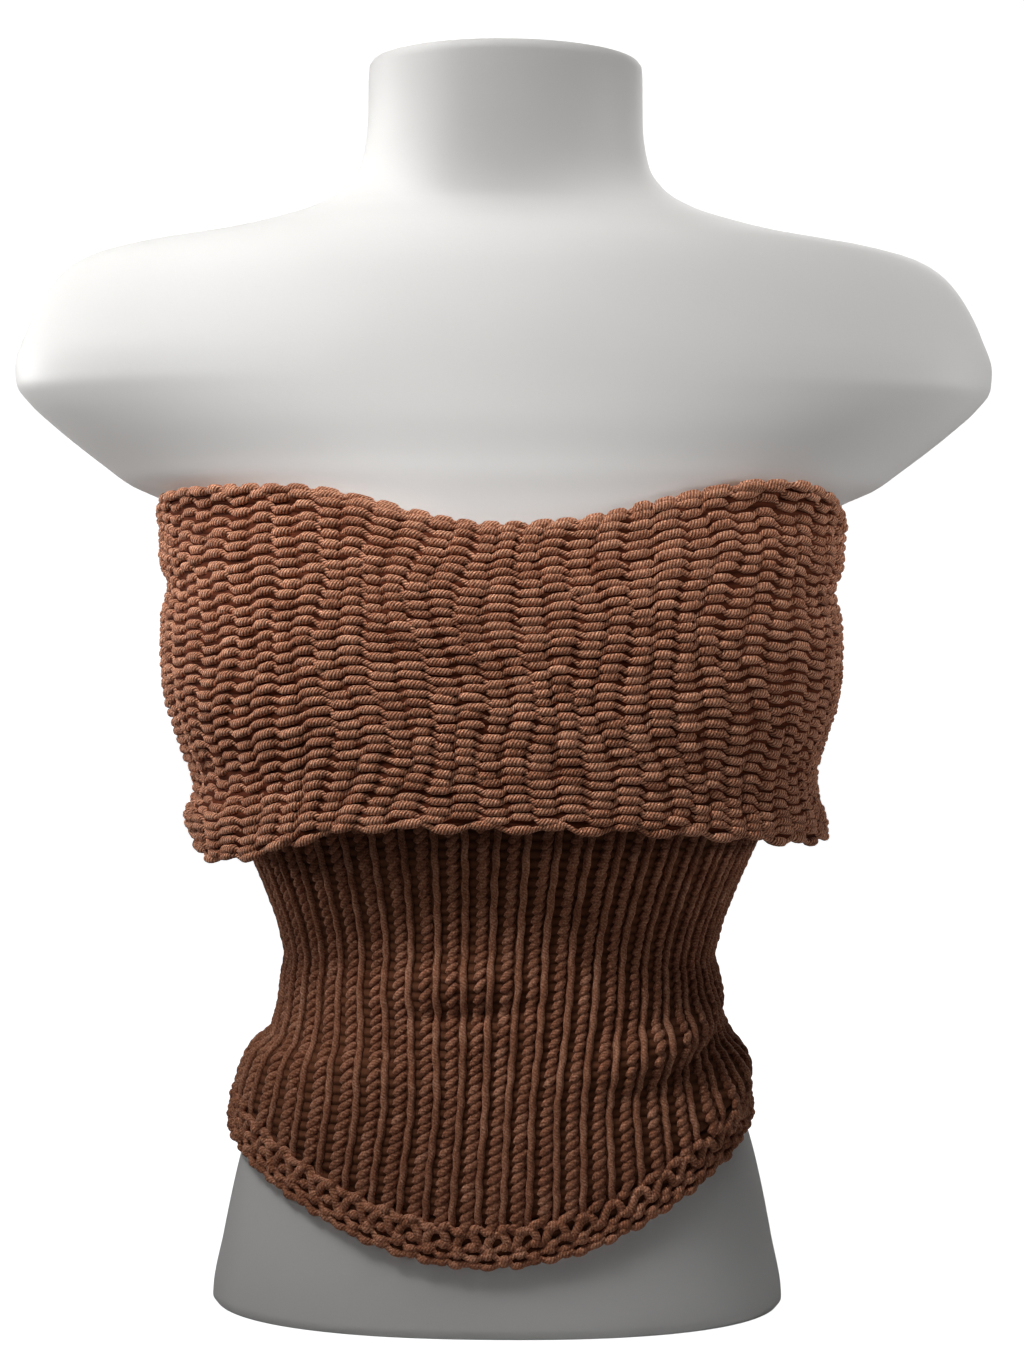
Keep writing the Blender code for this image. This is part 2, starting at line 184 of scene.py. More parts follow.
# %% [markdown]
# ## The surfaces that the yarn lies on
#
# A knitted cloth has no thickness of its own: it is yarn that follows a surface. So the script
# first needs that surface as a function of two numbers, how far round and how high, with the
# direction straight out of the cloth. The tables below repeat the main form's sections and
# lines, and a smooth curve runs through each column. Only the tube's creases and the fold's -X
# corner differ by a few millimetres, to stand where the photograph shows them.

# %% Tables of the form and the cloth
CLEAR = 0.0008              # least space between the form and the cloth
SEAM = 0.0003               # space between two cloths where they meet
STITCH_OVERLAP = 0.0050     # knit stitches go on this far behind the hem
WALES = 48                  # knit columns round the tube
WALE_LEAN = 0.13            # how far a column moves round, for each metre up
LEAN_PIVOT = 0.160          # the height where a column is at its own place
BAND_WALL = 0.0042          # thickness of the folded part
LIP_DROP = 0.0055           # inside the fold it ends this far below the crest
ROLL_BLEND = 0.0240         # height over which the roll becomes the hanging cloth
HEM_HEIGHT = 0.0210
HEM_SIDE_LEVEL = 0.0835
HEM_FRONT_DIP = 0.0526
HEM_BACK_DIP = 0.0100
HEM_TILT = 0.0045

FORM_SECTIONS = [
    # height  half_width  front   back  squareness
    (0.0000, 0.1298, 0.0858, 0.1000, 2.30),
    (0.0020, 0.1314, 0.0874, 0.1016, 2.30),
    (0.0300, 0.1266, 0.0885, 0.1020, 2.30),
    (0.0670, 0.1188, 0.0875, 0.0955, 2.30),
    (0.0850, 0.1135, 0.0860, 0.0900, 2.30),
    (0.1040, 0.1072, 0.0840, 0.0840, 2.28),
    (0.1230, 0.1010, 0.0815, 0.0785, 2.25),
    (0.1410, 0.0963, 0.0790, 0.0740, 2.20),
    (0.1550, 0.0944, 0.0775, 0.0720, 2.20),
    (0.1700, 0.0962, 0.0770, 0.0710, 2.20),
    (0.1880, 0.1025, 0.0785, 0.0720, 2.20),
    (0.2060, 0.1105, 0.0805, 0.0740, 2.20),
    (0.2250, 0.1195, 0.0832, 0.0770, 2.25),
    (0.2430, 0.1285, 0.0868, 0.0812, 2.30),
    (0.2620, 0.1372, 0.0912, 0.0850, 2.35),
    (0.2800, 0.1428, 0.0950, 0.0885, 2.40),
    (0.3000, 0.1450, 0.0962, 0.0915, 2.40),
    (0.3270, 0.1446, 0.0935, 0.0942, 2.35),
    (0.3450, 0.1470, 0.0900, 0.0948, 2.30),
    (0.3580, 0.1497, 0.0872, 0.0955, 2.25),
    (0.3610, 0.1507, 0.0866, 0.0958, 2.22),
    (0.3645, 0.1532, 0.0859, 0.0960, 2.20),
    (0.3688, 0.1606, 0.0852, 0.0962, 2.15),
    (0.3735, 0.1715, 0.0845, 0.0965, 2.10),
    (0.3830, 0.1850, 0.0825, 0.0972, 2.12),
    (0.4010, 0.2080, 0.0798, 0.0976, 2.18),
    (0.4120, 0.2200, 0.0777, 0.0972, 2.22),
    (0.4200, 0.2256, 0.0762, 0.0966, 2.25),
    (0.4290, 0.2264, 0.0745, 0.0955, 2.25),
    (0.4440, 0.2218, 0.0712, 0.0932, 2.22),
    (0.4600, 0.2142, 0.0667, 0.0895, 2.18),
    (0.4720, 0.2050, 0.0628, 0.0855, 2.12),
    (0.4800, 0.1925, 0.0594, 0.0823, 2.08),
    (0.4860, 0.1700, 0.0565, 0.0795, 2.04),
    (0.4915, 0.1350, 0.0538, 0.0762, 2.00),
    (0.4970, 0.1105, 0.0518, 0.0730, 2.00),
    (0.5030, 0.0905, 0.0504, 0.0695, 2.00),
    (0.5110, 0.0760, 0.0500, 0.0658, 2.00),
    (0.5230, 0.0672, 0.0504, 0.0625, 2.00),
    (0.5420, 0.0640, 0.0514, 0.0600, 2.00),
    (0.5692, 0.0634, 0.0522, 0.0585, 2.00),
    (0.5710, 0.0620, 0.0508, 0.0571, 2.00),
]
TUBE_SLACK = [
    # height  plus_x  minus_x  front   back
    (0.0300, 0.0008, 0.0008, 0.0010, 0.0012),
    (0.0600, 0.0008, 0.0016, 0.0009, 0.0030),
    (0.0760, 0.0010, 0.0046, 0.0009, 0.0040),
    (0.0850, 0.0016, 0.0070, 0.0010, 0.0045),
    (0.0950, 0.0024, 0.0086, 0.0012, 0.0045),
    (0.1040, 0.0030, 0.0092, 0.0014, 0.0040),
    (0.1130, 0.0040, 0.0082, 0.0016, 0.0035),
    (0.1226, 0.0012, 0.0009, 0.0022, 0.0020),
    (0.1320, 0.0008, 0.0008, 0.0028, 0.0018),
    (0.1410, 0.0026, 0.0014, 0.0032, 0.0030),
    (0.1500, 0.0028, 0.0020, 0.0026, 0.0030),
    (0.1600, 0.0008, 0.0008, 0.0012, 0.0010),
    (0.1700, 0.0016, 0.0016, 0.0010, 0.0010),
    (0.2060, 0.0012, 0.0012, 0.0014, 0.0012),
    (0.2350, 0.0008, 0.0008, 0.0008, 0.0008),
    (0.3800, 0.0008, 0.0008, 0.0008, 0.0008),
]
BAND_SECTIONS = [
    # height  half_width  front   back  squareness
    (0.1950, 0.1480, 0.1052, 0.1020, 2.35),
    (0.2060, 0.1500, 0.1060, 0.1026, 2.35),
    (0.2150, 0.1512, 0.1064, 0.1032, 2.35),
    (0.2240, 0.1504, 0.1064, 0.1038, 2.40),
    (0.2340, 0.1478, 0.1064, 0.1046, 2.40),
    (0.2430, 0.1472, 0.1068, 0.1056, 2.45),
    (0.2520, 0.1484, 0.1072, 0.1064, 2.45),
    (0.2620, 0.1512, 0.1076, 0.1070, 2.50),
    (0.2800, 0.1562, 0.1080, 0.1078, 2.50),
    (0.2990, 0.1574, 0.1080, 0.1080, 2.50),
    (0.3180, 0.1570, 0.1068, 0.1074, 2.45),
    (0.3270, 0.1564, 0.1056, 0.1070, 2.40),
    (0.3360, 0.1585, 0.1040, 0.1066, 2.35),
    (0.3450, 0.1600, 0.1020, 0.1062, 2.30),
    (0.3580, 0.1604, 0.0990, 0.1062, 2.25),
    (0.3760, 0.1640, 0.0960, 0.1066, 2.20),
]
FOLD_CREST = [
    # round  height
    (0.000, 0.3530),
    (0.040, 0.3556),
    (0.080, 0.3630),
    (0.115, 0.3710),
    (0.145, 0.3745),
    (0.180, 0.3705),
    (0.215, 0.3640),
    (0.250, 0.3595),
    (0.350, 0.3550),
    (0.500, 0.3535),
    (0.650, 0.3555),
    (0.750, 0.3625),
    (0.775, 0.3640),
    (0.800, 0.3680),
    (0.835, 0.3702),
    (0.880, 0.3705),
    (0.920, 0.3655),
    (0.960, 0.3570),
    (1.000, 0.3530),
]
FREE_EDGE = [
    # round  height
    (0.000, 0.2196),
    (0.080, 0.2184),
    (0.130, 0.2155),
    (0.180, 0.2125),
    (0.230, 0.2130),
    (0.350, 0.2105),
    (0.500, 0.2085),
    (0.650, 0.2105),
    (0.720, 0.2145),
    (0.760, 0.2125),
    (0.800, 0.2058),
    (0.840, 0.2030),
    (0.875, 0.2085),
    (0.910, 0.2165),
    (0.950, 0.2200),
    (1.000, 0.2196),
]
ROLL_PROFILE = [
    # off_form  drop
    (0.0008, 0.0055),
    (0.0010, 0.0030),
    (0.0026, 0.0009),
    (0.0052, 0.0000),
    (0.0082, 0.0011),
    (0.0100, 0.0036),
    (0.0104, 0.0075),
]
BAND_CREASES = [
    # round  half_round  height  half_up   climb   depth
    (0.225, 0.060, 0.3260, 0.0085, 0.10, 0.0024),    # under the +X arm
    (0.775, 0.060, 0.3270, 0.0085, -0.10, 0.0020),   # under the -X arm
    (0.790, 0.065, 0.2360, 0.0120, 0.10, 0.0068),    # above the lower -X corner
    (0.765, 0.060, 0.2090, 0.0110, 0.00, 0.0095),    # the lower -X corner itself
    (0.205, 0.050, 0.2440, 0.0110, -0.10, 0.0010),   # above the lower +X corner
    (0.430, 0.090, 0.2900, 0.0130, 0.05, 0.0022),    # behind
    (0.620, 0.075, 0.2450, 0.0120, -0.08, 0.0034),   # behind
]
TUBE_CREASES = [
    # round  half_round  height  half_up   climb   depth
    (0.980, 0.050, 0.1400, 0.0050, 0.05, 0.0030),    # waist, middle of the front
    (0.976, 0.060, 0.1540, 0.0085, 0.05, -0.0036),   # the soft ridge above it
    (0.140, 0.065, 0.1275, 0.0075, 0.16, -0.0066),   # a slanting fold on the +X hip
    (0.150, 0.065, 0.1150, 0.0055, 0.23, 0.0036),    # the trough under it
    (0.190, 0.055, 0.1020, 0.0085, 0.30, -0.0058),   # and the fold below that
    (0.900, 0.050, 0.1150, 0.0070, -0.15, -0.0016),  # its lesser match on the -X hip
    (0.560, 0.070, 0.1360, 0.0080, 0.10, -0.0030),   # small of the back
    (0.420, 0.050, 0.1120, 0.0070, -0.16, -0.0022),  # back of the hip
]
print("tables:", len(FORM_SECTIONS), "form sections,", len(BAND_SECTIONS), "band sections")

# %% [markdown]
# A table has few rows, and the yarn needs thousands of points. A cubic curve through each
# column fills in between the rows and never overshoots them. Each level outline is then walked
# in even steps, so that a place round means the same on every piece.

# %% Curves through the tables
def smooth_through(knots, values, at, flat_ends=False):
    """Values between the knots, on a cubic curve that never overshoots them."""
    knots, values, at = (np.asarray(x, float) for x in (knots, values, at))
    step = np.diff(knots)
    rise = np.diff(values) / step
    slope = np.zeros(len(knots))
    turning = rise[:-1] * rise[1:] <= 0
    before, after = np.where(turning, 1.0, rise[:-1]), np.where(turning, 1.0, rise[1:])
    near, far = 2 * step[1:] + step[:-1], step[1:] + 2 * step[:-1]
    slope[1:-1] = np.where(turning, 0.0, (near + far) / (near / before + far / after))
    if not flat_ends:
        slope[0], slope[-1] = rise[0], rise[-1]
    i = np.clip(np.searchsorted(knots, at, side="right") - 1, 0, len(step) - 1)
    t = np.clip((at - knots[i]) / step[i], 0.0, 1.0)
    start = values[i] * (1 + 2 * t) * (1 - t) ** 2 + slope[i] * step[i] * t * (1 - t) ** 2
    end = values[i + 1] * t * t * (3 - 2 * t) + slope[i + 1] * step[i] * t * t * (t - 1)
    return start + end


def columns_at(table, height):
    columns = np.array(table).T
    return [smooth_through(columns[0], c, height) for c in columns[1:]]


def line_at(table, place):
    rounds, heights = np.array(table).T
    return smooth_through(rounds, heights, np.asarray(place) % 1.0, flat_ends=True)


def smooth_step(value):
    value = np.clip(value, 0.0, 1.0)
    return value * value * (3 - 2 * value)


print("the fold's crest:", round(float(line_at(FOLD_CREST, 0.0)), 4), "m in front,",
      round(float(line_at(FOLD_CREST, 0.5)), 4), "m behind")

# %% Level outlines, read at any place and height
PLACES = 720


class Outlines:
    """The level outlines of one table, on a fine grid of heights and places round."""

    def __init__(self, sections, step=0.001, samples=361):
        self.low, self.step = sections[0][0], step
        heights = np.arange(self.low, sections[-1][0] + step, step)
        half_width, front, back, square = (c[:, None] for c in columns_at(sections, heights))
        turn = np.linspace(0, math.pi, samples)[None, :]
        cosine = np.cos(turn)
        x = half_width * np.abs(np.sin(turn)) ** (2 / square)
        y = -np.sign(cosine) * np.abs(cosine) ** (2 / square) * np.where(cosine > 0, front, back)
        walked = np.cumsum(np.hypot(np.diff(x), np.diff(y)), axis=1)
        walked = np.hstack([np.zeros((len(heights), 1)), walked])
        shares = np.linspace(0, 1, PLACES // 2 + 1)
        half = np.stack([[np.interp(shares * w[-1], w, values) for values in (a, b)]
                         for w, a, b in zip(walked, x, y)])
        other = half[:, :, -2:0:-1] * np.array([-1, 1])[None, :, None]
        self.points = np.moveaxis(np.concatenate([half, other], axis=2), 1, 2)
        along = np.roll(self.points, -1, axis=1) - np.roll(self.points, 1, axis=1)
        out = np.stack([along[..., 1], -along[..., 0]], axis=-1)
        self.out = out / np.linalg.norm(out, axis=-1, keepdims=True)

    def at(self, place, height, distance=0.0):
        """Points this far straight out from the outlines."""
        place, height, distance = np.broadcast_arrays(place, height, distance)
        row = np.clip((height - self.low) / self.step, 0, len(self.points) - 1.001)
        column = (place % 1.0) * PLACES
        xy, out = (read_grid(grid, row, column) for grid in (self.points, self.out))
        return np.concatenate([xy + out * distance[..., None], height[..., None]], axis=-1)


def read_grid(grid, row, column):
    """Values between the grid's own, and round its seam."""
    r, c = np.floor(row).astype(int), np.floor(column).astype(int)
    fr, fc = (row - r)[..., None], (column - c)[..., None]
    c0, c1 = c % grid.shape[1], (c + 1) % grid.shape[1]
    low = grid[r, c0] * (1 - fc) + grid[r, c1] * fc
    high = grid[r + 1, c0] * (1 - fc) + grid[r + 1, c1] * fc
    return low * (1 - fr) + high * fr


form_outlines = Outlines(FORM_SECTIONS)
band_outlines = Outlines(BAND_SECTIONS)
print("waist outline", round(float(np.linalg.norm(np.diff(
    form_outlines.at(np.linspace(0, 1, 721), 0.155)[:, :2], axis=0), axis=1).sum()), 4), "m round")

# %% [markdown]
# ## Three cloth surfaces
#
# The tube, the folded part and the hem are each one surface of two numbers. The folded part
# starts inside the fold, climbs over its crest and hangs down outside. A fine grid keeps the
# points and the direction out of the cloth, so that a stitch is placed with one lookup.

# %% Lines and folds of the cloth
def crease_depth(creases, place, height):
    """How far soft creases press the cloth in."""
    depth = 0.0
    for round_, half_round, level, half_up, climb, deepest in creases:
        across = (place - round_ + 0.5) % 1.0 - 0.5
        up = height - level - climb * across
        depth = depth + deepest * np.exp(-(across / half_round) ** 2 - (up / half_up) ** 2)
    return depth


def tube_stand_off(place, height):
    """Space between the form and the tube's inner face."""
    plus_x, minus_x, front, back = columns_at(TUBE_SLACK, height)
    facing = np.cos(2 * math.pi * place)
    side = np.where(np.sin(2 * math.pi * place) > 0, plus_x, minus_x)
    slack = side * (1 - facing ** 2) + np.where(facing > 0, front, back) * facing ** 2
    return np.maximum(CLEAR, slack - crease_depth(TUBE_CREASES, place, height))


def hem_lower_edge(place):
    facing = np.cos(2 * math.pi * place)
    dip = np.where(facing > 0, HEM_FRONT_DIP, HEM_BACK_DIP)
    return HEM_SIDE_LEVEL - dip * facing ** 2 + HEM_TILT * np.sin(2 * math.pi * place)


def band_outer(place, height):
    """The folded part's outer face, where it hangs."""
    drop = line_at(FOLD_CREST, place) - height
    hangs = smooth_step((drop - ROLL_PROFILE[-1][1]) / ROLL_BLEND)
    inset = hangs * crease_depth(BAND_CREASES, place, height)
    on_roll = form_outlines.at(place, height, ROLL_PROFILE[-1][0] - inset)
    hanging = band_outlines.at(place, height, -inset)
    return on_roll + hangs[..., None] * (hanging - on_roll)


class Cloth:
    """A cloth surface, read at a place round and a share of the way along its height."""

    def __init__(self, point_at, rows):
        places = np.arange(PLACES)[None, :] / PLACES
        shares = np.linspace(0, 1, rows)[:, None]
        self.points = point_at(*np.broadcast_arrays(places, shares))
        sideways = np.roll(self.points, -1, axis=1) - np.roll(self.points, 1, axis=1)
        upwards = np.gradient(self.points, axis=0)
        out = np.cross(sideways, upwards)
        self.outs = out / np.linalg.norm(out, axis=-1, keepdims=True)

    def read(self, place, share):
        """Points, and the directions out of the cloth."""
        place, share = np.broadcast_arrays(place, share)
        row = np.clip(share, 0, 1) * (len(self.points) - 1.001)
        column = (place % 1.0) * PLACES
        points, outs = (read_grid(grid, row, column) for grid in (self.points, self.outs))
        return points, outs / np.linalg.norm(outs, axis=-1, keepdims=True)

    def at(self, place, share, out=0.0):
        points, outs = self.read(place, share)
        return points + outs * np.broadcast_to(out, points.shape[:-1])[..., None]


print("the hem's edge in front, at the side and behind:",
      [round(float(hem_lower_edge(place)), 4) for place in (0.0, 0.25, 0.5)], "m up")

# %% The tube and the hem as surfaces
def tube_low(place):
    return hem_lower_edge(place) + HEM_HEIGHT + SEAM


def tube_high(place):
    return line_at(FOLD_CREST, place) - LIP_DROP - SEAM


def hem_top(place):
    return hem_lower_edge(place) + HEM_HEIGHT


def stitch_low(place):
    """The knit stitches start behind the hem's first loops."""
    return tube_low(place) - STITCH_OVERLAP


def inner_face(low, high):
    """The cloth's inner face between two lines."""
    def point_at(place, share):
        height = low(place) + share * (high(place) - low(place))
        return form_outlines.at(place, height, tube_stand_off(place, height))
    return point_at


tube_cloth = Cloth(inner_face(tube_low, tube_high), rows=320)
stitch_cloth = Cloth(inner_face(stitch_low, tube_high), rows=340)
hem_cloth = Cloth(inner_face(hem_lower_edge, hem_top), rows=24)
print("tube height in front and behind:",
      [round(float(tube_high(place) - tube_low(place)), 4) for place in (0.0, 0.5)], "m")

# %% The folded part as a surface
roll_off, roll_drop = np.array(ROLL_PROFILE).T
roll_walk = np.concatenate([[0], np.cumsum(np.hypot(np.diff(roll_off), np.diff(roll_drop)))])
CREST_ROW = 3
ROLL_LENGTH = float(roll_walk[-1])
INSIDE_LENGTH = float(roll_walk[CREST_ROW])


def band_length(place):
    """From the end inside the fold, over the crest, down to the free edge."""
    hanging = line_at(FOLD_CREST, place) - roll_drop[-1] - line_at(FREE_EDGE, place)
    return ROLL_LENGTH + hanging


def band_face(place, share):
    """The outer face; share is 0 at the free edge and 1 inside the fold."""
    walk = (1 - share) * band_length(place)
    crest = line_at(FOLD_CREST, place)
    off = smooth_through(roll_walk, roll_off, walk)
    drop = smooth_through(roll_walk, roll_drop, walk)
    rolled = form_outlines.at(place, crest - drop, off)
    hanging = band_outer(place, crest - roll_drop[-1] - (walk - ROLL_LENGTH))
    return np.where((walk < ROLL_LENGTH)[..., None], rolled, hanging)


band_cloth = Cloth(band_face, rows=420)
print("band length", round(float(band_length(0.0)), 4), "in front,",
      round(float(band_length(0.145)), 4), "m at the peak")

# %% [markdown]
# ## The yarn
#
# The real yarn is soft, matte and plied: several strands twisted together, so that fine slanting
# grooves run across it. They are far too fine for a mesh, so the material makes them: a bump, with
# painted shade in the grooves and painted highlight on the ridges. Each yarn carries two numbers
# with it, how far along and how far round, and one more for its tone. The twist is a wave of the
# first two. It is used by several materials, so it is a node group.

# %% Node helpers
def value_node(tree, operation, *inputs):
    """A Math node's result; an input is a number or a socket."""
    return add(tree, "ShaderNodeMath", dict(enumerate(inputs)), operation=operation).outputs[0]


def attribute_node(tree, name):
    return add(tree, "ShaderNodeAttribute", attribute_name=name).outputs["Fac"]


def object_place(tree):
    """Where a point lies in its own piece."""
    return add(tree, "ShaderNodeTexCoord").outputs["Object"]


def noise_node(tree, vector, scale, detail=2.0, rough=0.5):
    return add(tree, "ShaderNodeTexNoise", {
        "Vector": vector, "Scale": scale, "Detail": detail, "Roughness": rough}).outputs["Fac"]


def ramp_node(tree, share, stops):
    """A colour from a number; a stop is a place from 0 to 1 and its colour."""
    node = add(tree, "ShaderNodeValToRGB", {"Fac": share})
    elements = node.color_ramp.elements
    elements[0].position, elements[-1].position = stops[0][0], stops[-1][0]
    for place, _ in stops[1:-1]:
        elements.new(place)
    for element, (_, colour) in zip(elements, stops):
        element.color = (*colour, 1)
    return node.outputs["Color"]


def bump_node(tree, height, distance):
    inputs = {"Strength": 1.0, "Distance": distance, "Height": height}
    return add(tree, "ShaderNodeBump", inputs).outputs["Normal"]


def new_tree(name, kind, inputs, outputs):
    """An empty node group. An input is a name, a type and a default, an output the first two."""
    tree = bpy.data.node_groups.new(name, kind)
    for way, sockets in (("INPUT", inputs), ("OUTPUT", outputs)):
        for socket_name, socket_kind, *default in sockets:
            socket = tree.interface.new_socket(socket_name, in_out=way,
                                               socket_type="NodeSocket" + socket_kind)
            if default:
                socket.default_value = default[0]
    return tree, add(tree, "NodeGroupInput").outputs, add(tree, "NodeGroupOutput")


# %% The twist of the plies
PLIES = 4
TWIST_PITCH = 1.50 * MM      # from one groove to the next, along the yarn
ROUNDING = 1.2               # above 1, the grooves widen

twist, given, result = new_tree(
    "ply_twist", "ShaderNodeTree",
    [("Along", "Float", 0.0), ("Around", "Float", 0.0), ("Pitch", "Float", TWIST_PITCH),
     ("Plies", "Float", PLIES)], [("Height", "Float"), ("Groove", "Float")])
turns = value_node(twist, "DIVIDE", given["Along"], given["Pitch"])
lead = value_node(twist, "MULTIPLY", given["Around"], given["Plies"])
half_turns = value_node(twist, "MULTIPLY", value_node(twist, "ADD", turns, lead), math.pi)
ridge = value_node(twist, "ABSOLUTE", value_node(twist, "SINE", half_turns))
rounded = value_node(twist, "POWER", ridge, ROUNDING)
# Groove is 1 in a groove and 0 on a ridge: from it the materials paint shade in the grooves and
# highlight on the ridges. Height drives their bump.
set_inputs(twist, result, {"Height": rounded,
                           "Groove": value_node(twist, "SUBTRACT", 1.0, rounded)})
print(f"{twist.name}: {len(twist.nodes)} nodes")

# %% Loose fibres and mottled dye
fibre, given, result = new_tree("fibre_mottle", "ShaderNodeTree", [("Vector", "Vector")],
                                [("Fine", "Float"), ("Broad", "Float")])
fine = noise_node(fibre, given["Vector"], 1200.0, 3.0, 0.65)
broad = noise_node(fibre, given["Vector"], 95.0)
set_inputs(fibre, result, {"Fine": value_node(fibre, "SUBTRACT", fine, 0.5),
                           "Broad": value_node(fibre, "SUBTRACT", broad, 0.5)})
print("groups:", [g.name for g in bpy.data.node_groups])

# %% Yarn materials
# The ramp's darkest colour is reached mostly in the grooves, as painted shade, and its palest on
# the ridges, as painted highlight; the mottle and tone move both as well.
YARN_DARK_AND_GROOVE_SHADE = (0.090, 0.024, 0.010)
YARN_BROWN = (0.40, 0.148, 0.073)
YARN_PALE_AND_RIDGE_HIGHLIGHT = (0.79, 0.410, 0.262)
MIDDLE_SHADE = 0.52            # where the plain brown lies, from deep at 0 to light at 1
FINE_SHARE, BROAD_SHARE, TONE_SHARE = 1.50, 0.45, 0.50    # how much each one changes the shade
FIBRE_RELIEF = 0.55            # of the plies' relief
GROOVE_LIFT = 0.42             # how much of the grooves' darkness the ridges get back
SHEEN_TINT = (0.75, 0.50, 0.38, 1)


def yarn_material(name, depth, bump, painted_light_scale):
    """Plied yarn: painted shade in slanting grooves this deep and dark, painted highlight on the
    ridges between them, mottled dye and a soft sheen; each copy is painted lighter or darker as a
    whole, as painted light and shade.
    """
    material, tree, shader = new_material(name)
    plies = add(tree, "ShaderNodeGroup", node_tree=twist, inputs={
        "Pitch": TWIST_PITCH, "Plies": PLIES, "Along": attribute_node(tree, "yarn_along"),
        "Around": attribute_node(tree, "yarn_around")}).outputs
    mottle = add(tree, "ShaderNodeGroup", {"Vector": object_place(tree)}, node_tree=fibre).outputs
    tone = value_node(tree, "SUBTRACT", attribute_node(tree, "tone"), 0.5)
    # Painted shade and highlight: the grooves are painted darker and the ridges lighter than the
    # plain brown.
    ridge_shade = MIDDLE_SHADE + GROOVE_LIFT * depth
    shade = value_node(tree, "MULTIPLY_ADD", plies["Groove"], -depth, ridge_shade)
    for change, share in ((mottle["Fine"], FINE_SHARE), (mottle["Broad"], BROAD_SHARE),
                          (tone, TONE_SHARE)):
        shade = value_node(tree, "MULTIPLY_ADD", change, share, shade)
    # The whole copy is painted lighter or darker here, as painted light and shade.
    colours = [(place, [c * painted_light_scale for c in colour]) for place, colour in (
        (0.05, YARN_DARK_AND_GROOVE_SHADE), (MIDDLE_SHADE, YARN_BROWN), (0.95, YARN_PALE_AND_RIDGE_HIGHLIGHT))]
    relief = value_node(tree, "MULTIPLY_ADD", mottle["Fine"], FIBRE_RELIEF, plies["Height"])
    set_inputs(tree, shader, {
        "Base Color": ramp_node(tree, shade, colours), "Normal": bump_node(tree, relief, bump),
        "Roughness": 0.85, "Specular IOR Level": 0.25, "Sheen Weight": 0.25,
        "Sheen Roughness": 0.5, "Sheen Tint": SHEEN_TINT})
    return material


# One yarn in three copies: the tube's and the hem's are painted darker than the folded part's, as
# painted shade.
folded_yarn = yarn_material("folded_yarn", 0.62, 0.40 * MM, 1.06)
tube_yarn = yarn_material("tube_yarn", 0.16, 0.15 * MM, 0.74)
hem_yarn = yarn_material("hem_yarn", 0.26, 0.22 * MM, 0.90)
print("yarn materials:", folded_yarn.name, tube_yarn.name, hem_yarn.name)

# %% [markdown]
# ## A yarn along a path
#
# A yarn is a circle swept along its path. Geometry Nodes do that for a whole bundle of paths at
# once: they turn a mesh of edges into curves, aim each curve's normal out of the cloth, and
# sweep a small circle whose seam stays on the hidden side. Two captured numbers go to the
# material. The paths themselves come from the stitch rules further down.

# %% The sweep tree
def named(tree, kind, name):
    """Numbers or directions that a guide carries."""
    return add(tree, "GeometryNodeInputNamedAttribute", {"Name": name},
               data_type=kind).outputs["Attribute"]


def stored(tree, geometry, name, value):
    """The geometry, which keeps a number on each point under a name."""
    return add(tree, "GeometryNodeStoreNamedAttribute",
               {"Geometry": geometry, "Name": name, "Value": value},
               data_type="FLOAT", domain="POINT").outputs[0]


def paint_and_end(tree, geometry, given, result):
    """The end of each tree: real geometry, in one material."""
    real = add(tree, "GeometryNodeRealizeInstances", {0: geometry}).outputs[0]
    painted = add(tree, "GeometryNodeSetMaterial", {0: real, "Material": given["Material"]})
    set_inputs(tree, result, {0: painted.outputs[0]})


sweep, given, result = new_tree(
    "yarn_sweep", "GeometryNodeTree",
    [("Geometry", "Geometry"), ("Sides", "Int", 8), ("Material", "Material")],
    [("Geometry", "Geometry")])
paths = add(sweep, "GeometryNodeMeshToCurve", {0: given["Geometry"]}).outputs[0]
aimed = add(sweep, "GeometryNodeSetCurveNormal", mode="FREE", inputs={
    0: paths, "Normal": named(sweep, "FLOAT_VECTOR", "cloth_out")}).outputs[0]
walk_length = add(sweep, "GeometryNodeSplineParameter").outputs["Length"]
circle = add(sweep, "GeometryNodeCurvePrimitiveCircle",
             {"Radius": 1.0, "Resolution": given["Sides"]}).outputs[0]
share_round = add(sweep, "GeometryNodeSplineParameter").outputs["Factor"]
profile = add(sweep, "GeometryNodeTransform", {
    0: stored(sweep, circle, "yarn_around", share_round), "Rotation": (0, 0, math.pi)}).outputs[0]
swept = add(sweep, "GeometryNodeCurveToMesh", {
    0: stored(sweep, aimed, "yarn_along", walk_length), "Profile Curve": profile,
    "Scale": named(sweep, "FLOAT", "thick"), "Fill Caps": True}).outputs[0]
smooth = add(sweep, "GeometryNodeSetShadeSmooth", {0: swept}).outputs[0]
paint_and_end(sweep, smooth, given, result)
print(f"{sweep.name}: {len(sweep.nodes)} nodes")


# %% From paths to a finished piece
def carry(mesh, **attributes):
    """Named numbers or directions on each point of a mesh."""
    for name, values in attributes.items():
        values = np.asarray(values, np.float32)
        kind, field = ("FLOAT_VECTOR", "vector") if values.ndim == 2 else ("FLOAT", "value")
        mesh.attributes.new(name, kind, "POINT").data.foreach_set(field, values.ravel())


def guide_of(points, edges, **attributes):
    mesh = bpy.data.meshes.new("guide")
    mesh.from_pydata(points.tolist(), edges, [])
    carry(mesh, **attributes)
    return linked("guide", mesh)


